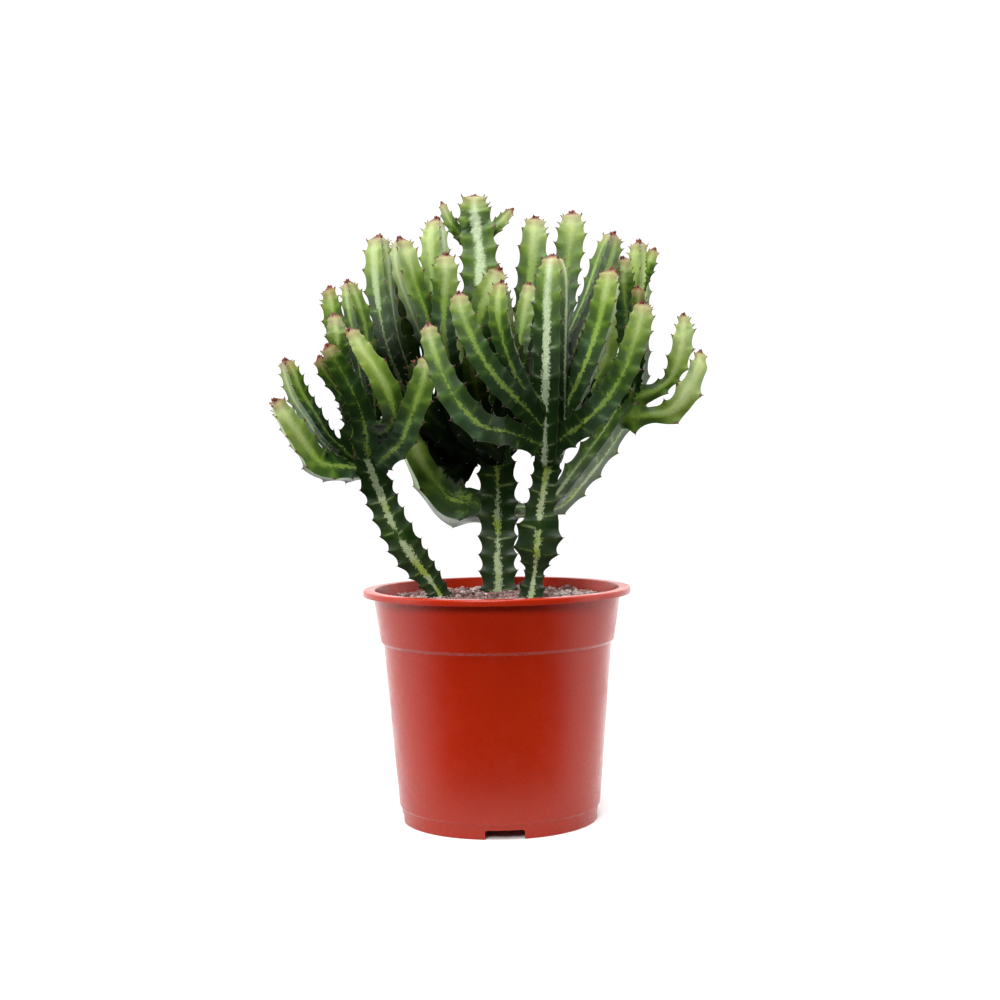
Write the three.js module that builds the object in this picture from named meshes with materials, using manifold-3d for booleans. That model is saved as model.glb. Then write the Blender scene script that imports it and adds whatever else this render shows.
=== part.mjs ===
// A potted candelabra euphorbia: three rooted cuttings in a thin plastic nursery pot.
// Millimetres, +Z up. The pot's axis is X = Y = 0 while the pieces are made, and the
// whole group is moved at the end so that its origin is the bottom centre of its box.
import * as THREE from "three";
import { ConvexGeometry } from "three/addons/geometries/ConvexGeometry.js";
import { mergeVertices } from "three/addons/utils/BufferGeometryUtils.js";
import Module from "manifold-3d";

const wasm = await Module();
wasm.setup();

// ---- driving dimensions -------------------------------------------------------

const RIM_RADIUS = 95;            // a 19 cm pot, measured over the rim
const POT_HEIGHT = 164.6;
const RIM_DEPTH = 4.2;            // the skirt hanging from the flange of the rim
const FLANGE = 2.6;
const LIP_BEVEL = 0.9;
const WALL = 1.3;
const MOUTH_RADIUS = 87;
const STEP_RADIUS = 81.7;         // inside the wall, at the top of the stacking step
const STEP_Z = 128;
const STEP_HEIGHT = 2;
const STEP_WIDTH = 2.2;
const FOOT_HEIGHT = 10;
const FOOT_RADIUS = 69.3;
const FOOT_FLARE = 1;             // the foot band widens upwards by this much
const FOOT_INSET = 1.4;           // the foot band sits in under the wall
const FOOT_WALL = 2.2;
const FLOOR_Z = 8.9;              // underside of the raised floor
const FLOOR_THICKNESS = 1.5;

const NOTCHES = 4;                // drain notches in the foot band
const NOTCH_WIDTH = 27;
const NOTCH_HEIGHT = 6.5;
const NOTCH_TURN = 2.7;           // degrees right of the front
const NOTCH_DEPTH = 12;
const DRAIN_RADIUS = 4;
const DRAIN_RING = 52;

const SOIL_TOP = 153.5;
const GAP = 0.3;                  // air left between neighbouring pieces
const SOCKET_GROWTH = 1.8;        // added to a stem's ridge radius, gives GAP at its faces

const STONES = 30;
const STONE_FIELD = 78;           // stones lie inside this radius
const STONE_RADIUS = [3.4, 4.8];
const STONE_POINTS = 15;
const STONE_FLATNESS = 0.75;
const GOLDEN_ANGLE = Math.PI * (3 - Math.sqrt(5));
const STEM_CLEARANCE = 26;        // stone centre to stem centre

const SPAN_STEPS = 2;             // rings for each span of a branch's path
const VALLEY = { 3: 0.42, 4: 0.62 };  // valley radius over ridge radius, by ridge count
const TIP_RISE = 2.5;               // the growing point above the last ring
const LATHE_SEGMENTS = 56;

const COLOURS = {
  pot: 0xa52a12, soil: 0x4f3a33, stone: 0x8a6a62,
  plant_left: 0x3f6a2c, plant_middle: 0x355f2a, plant_right: 0x47752f,
};

// ---- the plants ---------------------------------------------------------------
// A branch is [turn, [x, y, z, r], ...]: its centre line, with the radius r of the
// circle that its ridges' teeth reach. turn is the angle of its first ridge from the
// front, in degrees, and a branch has three ridges unless it is listed in FOUR_RIDGED.
// The first branch of each plant is its stem, which starts below the soil.

const PLANTS = {
  plant_left: {
    stem: [60, [-36, 17, 122, 8], [-35.5, 16, 146, 9], [-43.5, 15, 163, 10.2], [-61, 11, 188, 14.7],
      [-72.5, 7, 209, 14.5], [-80, 4, 227, 14], [-85.5, 1, 243, 14.5], [-90, -3, 258, 13.5],
      [-91, -5, 268, 10]],
    low_front: [-20, [-87, 8, 249, 10], [-104, 1, 248.5, 13.5], [-122.5, -15, 252, 15],
      [-131.5, -22, 263, 13], [-138, -28, 274, 13], [-145.5, -36, 288, 10.5], [-150, -40, 298, 8]],
    low_back: [0, [-101, 2, 257, 8], [-117.5, -2, 270, 9.2], [-129, -8, 288, 10.5],
      [-137.5, -14, 303, 10.8], [-142, -18, 317, 9.5], [-145, -20, 326.5, 7]],
    narrow: [25, [-89.5, 8, 250, 12.5], [-97, -2, 268, 14], [-96.5, -3, 285, 12], [-101, -5, 298, 10],
      [-109, -6, 309, 8.5], [-117, -8, 320, 8], [-122, -9, 329, 6.5]],
    broad: [60, [-87, 5, 250, 13], [-90, -6, 266, 13], [-91, -10, 282, 12.5], [-96, -14, 299, 11.5],
      [-104, -18, 316, 10.5], [-111, -20, 328, 9.5], [-115, -21, 336, 7.5]],
    forward: [-30, [-82, -6, 276, 10], [-72, -24, 288, 13.5], [-79, -35, 311, 13], [-90, -40, 330, 10],
      [-98, -42, 345, 7.5]],
    right_arm: [60, [-79, -4, 257, 12], [-65, -18, 270, 12.3], [-57, -28, 288, 12.5],
      [-50, -34, 305, 12.3], [-46, -36, 318, 11], [-45, -36, 326, 9]],
    tall_outer: [40, [-92, 6, 267, 10], [-101, 18, 293, 10], [-108.5, 26, 329, 10],
      [-113.3, 28, 358, 11.2], [-118, 28, 381, 7.5]],
    tall_inner: [0, [-89, 4, 267, 10], [-89.5, 10, 299, 11.5], [-93.5, 12, 335, 13],
      [-98.3, 12, 363, 12.8], [-103.5, 12, 383.5, 8]],
    short: [60, [-102, -8, 304, 8], [-108, -4, 328, 9], [-110, -4, 347, 9.5], [-112, -4, 358.5, 7]],
    rear: [60, [-93, 4, 265, 10], [-105, 44, 293, 11], [-112, 66, 324, 11], [-111, 74, 350, 6.5]],
    rear_low: [60, [-92, 6, 262, 9], [-95, 30, 276, 10], [-98, 50, 296, 10], [-97, 58, 317, 6]],
  },
  plant_middle: {
    stem: [60, [2, 46, 122, 9], [1, 46, 146, 14.5], [1.2, 45, 162, 16.5], [1.2, 45, 192, 17],
      [1.5, 45, 221, 18], [1, 44, 251, 17], [-2, 44, 277, 12.5], [-5, 44, 306, 14.5], [-7, 44, 343, 16],
      [-9, 44, 380, 17], [-9.5, 44, 409, 17], [-12, 44, 434, 15.5], [-12.5, 44, 449, 10]],
    left_outer: [13, [-4, 44, 258, 12], [-31, 44, 271, 12.5], [-54, 44, 293, 13], [-72, 42, 335, 13.5],
      [-80, 42, 374, 15], [-82, 42, 401, 14.5], [-82.5, 42, 419, 11.5]],
    left_front: [-10, [-4, 34, 260, 11], [-24, 18, 276, 12], [-35, 12, 309, 12.5], [-48, 10, 349, 13.5],
      [-58.5, 10, 379, 14.5], [-63.5, 10, 399, 14], [-65.5, 10, 413, 11]],
    left_back: [15, [-2, 50, 258, 11], [-24, 64, 285, 12], [-37, 68, 323, 12.5], [-41, 68, 360, 13],
      [-41, 68, 394, 15], [-41.5, 68, 420, 14], [-41, 68, 435, 10]],
    left_inner: [60, [-3, 36, 270, 10], [-23, 22, 299, 11], [-34, 14, 335, 11.5], [-34.5, 10, 366, 12],
      [-33, 8, 388, 12], [-33, 8, 401, 9]],
    right_inner: [60, [2, 52, 270, 12], [17, 68, 299, 13], [24, 76, 345, 13.5], [28, 78, 383, 14],
      [31.5, 78, 417, 13.5], [33, 78, 436, 10]],
    right_back: [52, [4, 56, 258, 12], [31, 76, 296, 13], [49, 88, 349, 13.5], [57, 90, 395, 13.4],
      [61, 90, 425, 14.2], [61.5, 90, 441, 10]],
    small_inner: [60, [1, 40, 277, 9], [13, 42, 310, 9.5], [21, 44, 350, 9.5], [27, 44, 383, 7]],
    low_left: [-20, [3, 50, 214, 11], [-15, 59, 217.5, 20], [-34, 62, 219.5, 24],
      [-46.5, 65.5, 231.5, 20.5], [-60.3, 70, 254.5, 16], [-66, 72, 273, 12.5], [-70, 72, 294, 8]],
    low_right: [0, [4, 46, 217, 7], [25, 54, 217, 8.5], [46.5, 58, 223.5, 14], [60, 60, 238.5, 16],
      [75, 62, 257.5, 16.6], [92, 64, 281, 15.3], [104, 64, 307, 14.5], [109, 64, 343, 12],
      [109.5, 64, 384, 12], [110, 64, 415, 9.7]],
    right_fork: [60, [108, 63, 301, 15], [121, 61, 305, 9], [131, 60, 312.5, 8], [136.5, 59, 324, 11.5],
      [140, 58, 337, 11.5], [142, 58, 349, 10], [142, 58, 360, 6]],
    right_wing: [60, [103, 62, 285.5, 16], [117, 60, 286.5, 11], [129, 57, 288, 12],
      [138.5, 55, 295, 14], [146, 53, 308, 12], [151.5, 52, 321, 10], [153.5, 52, 332, 6]],
    upper_right: [60, [100, 60, 302, 9], [99.5, 50, 342, 10.5], [97, 46, 374, 11], [96, 46, 401, 8]],
    upper_front: [60, [104, 56, 313, 8], [107, 44, 349, 9], [106.5, 40, 379, 7]],
    side_bud: [60, [110, 64, 382, 7], [116, 67, 398, 8], [121.5, 68, 410, 5.5]],
    top_bud_left: [60, [-22, 44, 419, 6.5], [-31, 42, 431, 6], [-36, 41, 443, 3.5]],
    top_bud_right: [60, [-3, 44, 420, 6], [6.5, 44, 429, 6.4], [15, 44, 438, 4.3]],
    front_bud: [60, [-7, 42, 317, 10], [-10, 22, 353, 13], [-2.5, 18, 375, 13], [5, 16, 391, 9.5]],
    inner_front: [60, [-2, 36, 262, 10], [-10, 20, 290, 11], [-14, 2, 318, 11], [-14, -6, 344, 7]],
    rear_left: [60, [0, 50, 258, 11], [-13, 84, 280, 12], [-25, 112, 321, 12], [-30, 120, 365, 7]],
    rear_middle: [60, [1, 52, 264, 11], [7, 94, 298, 12], [8, 114, 345, 13], [8, 120, 386, 8]],
    rear_right: [60, [4, 52, 264, 11], [36, 92, 290, 12], [60, 117, 322, 12], [70, 122, 360, 7]],
    rear_low: [60, [-4, 50, 266, 11], [-42, 94, 277, 12], [-63, 112, 310, 12], [-67, 116, 346, 7]],
    deep_left: [60, [-3, 50, 262, 12], [-15, 60, 268, 10], [-31, 73, 247, 17], [-54, 84, 267, 14],
      [-76, 90, 290, 14], [-86, 88, 326, 11.5], [-88, 84, 352, 7]],
    deep_outer: [60, [-3, 50, 264, 12], [-36, 70, 277, 13], [-58, 76, 304, 13], [-66, 72, 345, 13.5],
      [-73, 70, 392, 8]],
    deep_middle: [60, [-2, 52, 262, 12], [-20, 78, 273, 13.5], [-34, 92, 292, 14], [-40, 94, 336, 8]],
    deep_front: [60, [-4, 38, 262, 12], [-26, 30, 273, 12.5], [-47, 28, 290, 13], [-58, 30, 326, 8]],
    deep_right: [60, [3, 52, 268, 12], [33, 80, 291, 13], [68, 92, 304, 16], [83.5, 92, 332, 14],
      [86, 90, 352, 14], [87, 90, 376, 9]],
  },
  plant_right: {
    stem: [60, [22, -2, 122, 9], [22.5, -2, 148, 11], [25, -2, 164, 11.5], [27, -4, 176, 9],
      [28.7, -6, 193, 19.4], [31, -8, 210, 19.3], [31.5, -10, 220, 14], [34.5, -14, 237, 12.5],
      [37, -18, 256, 13], [38, -22, 274, 13]],
    front_pillar: [24, [38, -20, 262, 14], [39, -28, 296, 16], [40, -32, 331, 16.5],
      [41, -35, 365, 15.5], [42, -36, 385, 13], [42, -36, 393.5, 9.5]],
    long_left: [60, [35, -22, 265, 12], [12, -34, 274, 12.5], [-8, -46, 279, 13.5],
      [-24, -54, 295, 13.5], [-34, -56, 314, 11], [-40.5, -56, 333, 9.5], [-43.5, -56, 346.5, 8]],
    mid_left: [60, [35, -26, 277, 11], [18, -38, 295, 12], [4, -46, 309, 12], [-8, -52, 326, 11.3],
      [-16.5, -54, 344, 10.8], [-21, -54, 358, 10.3], [-22.5, -54, 367.5, 8]],
    inner_left: [25, [35, -26, 279, 10], [23, -38, 303, 11], [13, -42, 325, 11], [7, -44, 348, 11],
      [6, -44, 364, 10], [7, -44, 375.5, 7.5]],
    long_right: [60, [40, -22, 266, 12], [60, -34, 279.5, 13], [76, -42, 295, 12.5], [88, -48, 314, 12],
      [96, -50, 335, 11.5], [100.5, -50, 350, 11], [101.5, -50, 359.5, 8.5]],
    mid_right: [22, [42, -18, 274, 11], [57, -26, 299, 12.5], [68, -28, 324, 13.5], [76, -28, 348, 13.5],
      [81, -28, 370, 13], [83, -28, 384.5, 10]],
    back_right: [-10, [39, -8, 272, 11], [43, 8, 301, 12], [55, 22, 335, 12], [70.3, 28, 368.5, 12.1],
      [81.3, 30, 398, 13.6], [88, 30, 417, 10.2]],
    inner_back: [60, [37, -12, 272, 11], [24, 2, 298, 11.5], [14, 8, 328, 11.5], [10, 10, 351, 6.5]],
    inner_right: [60, [42, -10, 272, 10], [58, 2, 296, 11], [66, 6, 326, 11], [68, 8, 347, 6.5]],
  },
};
const FOUR_RIDGED = ["front_pillar"];

// ---- solids and meshes --------------------------------------------------------

function solidOf(geometry) {
  const bare = geometry.clone();
  bare.deleteAttribute("normal");
  bare.deleteAttribute("uv");
  const merged = mergeVertices(bare, 1e-4);
  return new wasm.Manifold(new wasm.Mesh({
    numProp: 3,
    vertProperties: new Float32Array(merged.attributes.position.array),
    triVerts: new Uint32Array(merged.index.array),
  }));
}

function geometryOf(solid) {
  const mesh = solid.getMesh();
  const geometry = new THREE.BufferGeometry();
  geometry.setAttribute("position", new THREE.BufferAttribute(mesh.vertProperties, 3));
  geometry.setIndex(new THREE.BufferAttribute(mesh.triVerts, 1));
  geometry.computeVertexNormals();
  return geometry;
}

function named(name, geometry, colour, roughness) {
  const material = new THREE.MeshStandardMaterial({ color: colour, roughness, metalness: 0 });
  const mesh = new THREE.Mesh(geometry, material);
  mesh.name = name;
  return mesh;
}

function lathed(profile) {
  const points = profile.map(([radius, z]) => new THREE.Vector2(radius, z));
  return new THREE.LatheGeometry(points, LATHE_SEGMENTS).rotateX(Math.PI / 2);
}

// A small repeatable random sequence, so that every build gives the same stones.
function randomFrom(seed) {
  let state = seed;
  return () => {
    state = (state * 1664525 + 1013904223) % 4294967296;
    return state / 4294967296;
  };
}

// ---- branches -----------------------------------------------------------------

const FRONT = new THREE.Vector3(0, -1, 0);

// A ring of alternating ridge and valley points square to the centre line.
function ringPoints(centre, tangent, radius, turn, ridges) {
  const ahead = FRONT.clone().addScaledVector(tangent, -FRONT.dot(tangent)).normalize();
  const side = new THREE.Vector3().crossVectors(tangent, ahead);
  const points = [];
  for (let corner = 0; corner < 2 * ridges; corner += 1) {
    const angle = THREE.MathUtils.degToRad(turn + (corner * 180) / ridges);
    const reach = corner % 2 === 0 ? radius : radius * VALLEY[ridges];
    points.push(centre.clone()
      .addScaledVector(ahead, reach * Math.cos(angle))
      .addScaledVector(side, reach * Math.sin(angle)));
  }
  return points;
}

// A closed, ridged loft along the path, its ridge radius enlarged by growth.
function branchGeometry([turn, ...path], ridges, growth = 0) {
  const centreLine = new THREE.CatmullRomCurve3(
    path.map(([x, y, z]) => new THREE.Vector3(x, y, z)), false, "catmullrom");
  const radii = new THREE.CatmullRomCurve3(
    path.map(([, , , r]) => new THREE.Vector3(r, 0, 0)), false, "catmullrom");
  const rings = (path.length - 1) * SPAN_STEPS;
  const corners = 2 * ridges;
  const points = [];
  const faces = [];
  for (let ring = 0; ring <= rings; ring += 1) {
    const t = ring / rings;
    const tangent = centreLine.getTangent(t);
    points.push(...ringPoints(
      centreLine.getPoint(t), tangent, radii.getPoint(t).x + growth, turn, ridges));
  }
  for (let ring = 0; ring < rings; ring += 1) {
    for (let corner = 0; corner < corners; corner += 1) {
      const a = ring * corners + corner;
      const b = ring * corners + ((corner + 1) % corners);
      faces.push(a, b, b + corners, a, b + corners, a + corners);
    }
  }
  const foot = points.length;
  const tip = foot + 1;
  points.push(
    centreLine.getPoint(0).addScaledVector(centreLine.getTangent(0), -growth),
    centreLine.getPoint(1).addScaledVector(centreLine.getTangent(1), TIP_RISE));
  for (let corner = 0; corner < corners; corner += 1) {
    const next = (corner + 1) % corners;
    faces.push(foot, next, corner);
    faces.push(tip, rings * corners + corner, rings * corners + next);
  }
  const geometry = new THREE.BufferGeometry().setFromPoints(points);
  geometry.setIndex(faces);
  return geometry;
}

// All the branches grown together. Where they meet around a closed pocket, the outer
// skin alone is kept, so the plant is solid there.
function plantSolid(branches) {
  const grown = Object.entries(branches)
    .map(([name, branch]) => solidOf(branchGeometry(branch, FOUR_RIDGED.includes(name) ? 4 : 3)))
    .reduce((plant, next) => plant.add(next));
  return grown.decompose().reduce((largest, next) => (next.volume() > largest.volume() ? next : largest));
}

// ---- pot ----------------------------------------------------------------------

// Radius of the pot's inner wall at a height, above the foot.
function innerRadius(z) {
  if (z >= STEP_Z) {
    return THREE.MathUtils.mapLinear(z, STEP_Z, POT_HEIGHT, STEP_RADIUS, MOUTH_RADIUS);
  }
  return THREE.MathUtils.mapLinear(
    z, FOOT_HEIGHT, STEP_Z - STEP_HEIGHT, FOOT_RADIUS + FOOT_FLARE, STEP_RADIUS - STEP_WIDTH);
}

function potGeometry() {
  const underRim = POT_HEIGHT - FLANGE;
  const underStep = STEP_Z - STEP_HEIGHT;
  const floorTop = FLOOR_Z + FLOOR_THICKNESS;
  const outside = [
    [FOOT_RADIUS, 0],
    [FOOT_RADIUS + FOOT_FLARE, FOOT_HEIGHT],
    [innerRadius(FOOT_HEIGHT) + WALL, FOOT_HEIGHT + FOOT_INSET],
    [innerRadius(underStep) + WALL, underStep],
    [innerRadius(STEP_Z) + WALL, STEP_Z],
    [innerRadius(underRim) + WALL, underRim],
    [RIM_RADIUS - WALL, underRim],
    [RIM_RADIUS - WALL, POT_HEIGHT - RIM_DEPTH],
    [RIM_RADIUS, POT_HEIGHT - RIM_DEPTH],
    [RIM_RADIUS, POT_HEIGHT - LIP_BEVEL],
    [RIM_RADIUS - LIP_BEVEL, POT_HEIGHT],
  ];
  const inside = [
    [MOUTH_RADIUS + LIP_BEVEL, POT_HEIGHT],
    [MOUTH_RADIUS, POT_HEIGHT - LIP_BEVEL],
    [innerRadius(STEP_Z), STEP_Z],
    [innerRadius(underStep), underStep],
    [innerRadius(floorTop), floorTop],
    [0, floorTop],
  ];
  const footInside = FOOT_RADIUS - FOOT_WALL;
  const underside = [[0, FLOOR_Z], [footInside, FLOOR_Z], [footInside, 0]];
  let pot = solidOf(lathed([...underside, ...outside, ...inside]));
  for (let notch = 0; notch < NOTCHES; notch += 1) {
    const turn = THREE.MathUtils.degToRad(-90 + NOTCH_TURN + (notch * 360) / NOTCHES);
    const opening = new THREE.BoxGeometry(NOTCH_DEPTH, NOTCH_WIDTH, 2 * NOTCH_HEIGHT)
      .translate(FOOT_RADIUS, 0, 0).rotateZ(turn);
    const drain = new THREE.CylinderGeometry(DRAIN_RADIUS, DRAIN_RADIUS, 4 * FLOOR_THICKNESS, 16)
      .rotateX(Math.PI / 2).translate(DRAIN_RING, 0, FLOOR_Z).rotateZ(turn);
    pot = pot.subtract(solidOf(opening)).subtract(solidOf(drain));
  }
  return geometryOf(pot);
}

// ---- potting mix --------------------------------------------------------------

function soilGeometry() {
  const bottom = FLOOR_Z + FLOOR_THICKNESS + GAP;
  const fit = (z) => [innerRadius(z) - 1.3 * GAP, z];
  const bed = solidOf(lathed([
    [0, bottom], fit(bottom), fit(STEP_Z - STEP_HEIGHT), fit(STEP_Z + GAP), fit(SOIL_TOP),
    [0, SOIL_TOP],
  ]));
  const sockets = Object.values(PLANTS).map(({ stem }) =>
    solidOf(branchGeometry(stem, 3, SOCKET_GROWTH)));
  return geometryOf(sockets.reduce((soil, socket) => soil.subtract(socket), bed));
}

// ---- lava stones --------------------------------------------------------------

// A rough pebble: the hull of points scattered over a flattened ball.
function stoneGeometry(random, radius) {
  const points = [];
  for (let index = 0; index < STONE_POINTS; index += 1) {
    const height = 1 - (2 * (index + 0.5)) / STONE_POINTS;
    const turn = index * GOLDEN_ANGLE + random();
    const reach = radius * (0.8 + 0.4 * random());
    const flat = Math.sqrt(1 - height * height);
    points.push(new THREE.Vector3(
      reach * flat * Math.cos(turn), reach * flat * Math.sin(turn), reach * height * STONE_FLATNESS));
  }
  const geometry = new ConvexGeometry(points);
  geometry.computeBoundingBox();
  return geometry.translate(0, 0, -geometry.boundingBox.min.z);
}

// Stone places on a sunflower spiral over the soil, clear of the three stems.
function stonePlaces() {
  const stems = Object.values(PLANTS).map(({ stem }) => stem[3]);
  const places = [];
  for (let index = 0; places.length < STONES; index += 1) {
    const reach = STONE_FIELD * Math.sqrt((index + 0.5) / (STONES + 8));
    const turn = index * GOLDEN_ANGLE;
    const place = new THREE.Vector2(reach * Math.cos(turn), reach * Math.sin(turn));
    const clear = stems.every(([x, y]) => place.distanceTo(new THREE.Vector2(x, y)) > STEM_CLEARANCE);
    if (clear) {
      places.push(place);
    }
  }
  return places;
}

// ---- the potted plant ---------------------------------------------------------

const object = new THREE.Group();
object.add(named("pot", potGeometry(), COLOURS.pot, 0.3));
object.add(named("potting_mix", soilGeometry(), COLOURS.soil, 0.95));

const random = randomFrom(7);
stonePlaces().forEach((place, index) => {
  const radius = THREE.MathUtils.lerp(STONE_RADIUS[0], STONE_RADIUS[1], random());
  const name = `lava_stone_${String(index + 1).padStart(2, "0")}`;
  const stone = named(name, stoneGeometry(random, radius), COLOURS.stone, 0.9);
  stone.position.set(place.x, place.y, SOIL_TOP + GAP);
  object.add(stone);
});

for (const [name, branches] of Object.entries(PLANTS)) {
  object.add(named(name, geometryOf(plantSolid(branches)), COLOURS[name], 0.5));
}

const box = new THREE.Box3().setFromObject(object);
object.position.set(-(box.min.x + box.max.x) / 2, -(box.min.y + box.max.y) / 2, -box.min.z);
const pottedPlant = new THREE.Group();
pottedPlant.add(object);

export default pottedPlant;
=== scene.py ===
import math
import random
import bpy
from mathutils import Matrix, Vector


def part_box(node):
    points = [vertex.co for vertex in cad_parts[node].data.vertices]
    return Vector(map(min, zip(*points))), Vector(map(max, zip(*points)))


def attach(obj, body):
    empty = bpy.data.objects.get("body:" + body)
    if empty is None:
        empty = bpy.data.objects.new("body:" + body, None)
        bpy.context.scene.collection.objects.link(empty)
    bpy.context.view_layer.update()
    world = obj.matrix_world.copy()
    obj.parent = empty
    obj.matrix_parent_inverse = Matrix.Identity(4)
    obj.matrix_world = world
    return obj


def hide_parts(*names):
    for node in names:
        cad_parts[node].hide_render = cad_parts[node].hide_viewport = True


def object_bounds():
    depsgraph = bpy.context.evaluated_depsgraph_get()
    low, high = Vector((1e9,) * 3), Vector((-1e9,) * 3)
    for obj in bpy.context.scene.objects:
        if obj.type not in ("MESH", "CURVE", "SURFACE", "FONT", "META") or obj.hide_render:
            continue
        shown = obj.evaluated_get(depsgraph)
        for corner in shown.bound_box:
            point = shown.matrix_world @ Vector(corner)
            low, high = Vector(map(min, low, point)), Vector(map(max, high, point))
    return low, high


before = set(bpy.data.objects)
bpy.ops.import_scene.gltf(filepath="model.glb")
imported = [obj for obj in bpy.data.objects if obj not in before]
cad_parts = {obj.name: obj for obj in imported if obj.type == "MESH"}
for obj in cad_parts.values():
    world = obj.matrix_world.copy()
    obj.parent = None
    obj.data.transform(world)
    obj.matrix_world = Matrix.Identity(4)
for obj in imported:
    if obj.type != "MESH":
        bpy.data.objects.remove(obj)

from types import SimpleNamespace

import bmesh
import bpy
import numpy as np
from mathutils import Matrix, Vector, kdtree, noise

CAD_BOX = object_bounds()
MM = 0.001
BOX_INSET = 0.0002              # the plants' teeth stay this far inside the CAD's box

# The pot's axis, which every length below is measured from, in millimetres.
pot_low, pot_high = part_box("pot")
AXIS = np.array([(pot_low.x + pot_high.x) / 2, (pot_low.y + pot_high.y) / 2, 0.0])

# ---- the plants: the same branches as the CAD model's ---------------------------
# A branch is [turn, (x, y, z, r), ...]: its centre line, with the radius r of the
# circle that its teeth reach. turn is the angle of its first ridge from the front.

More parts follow.
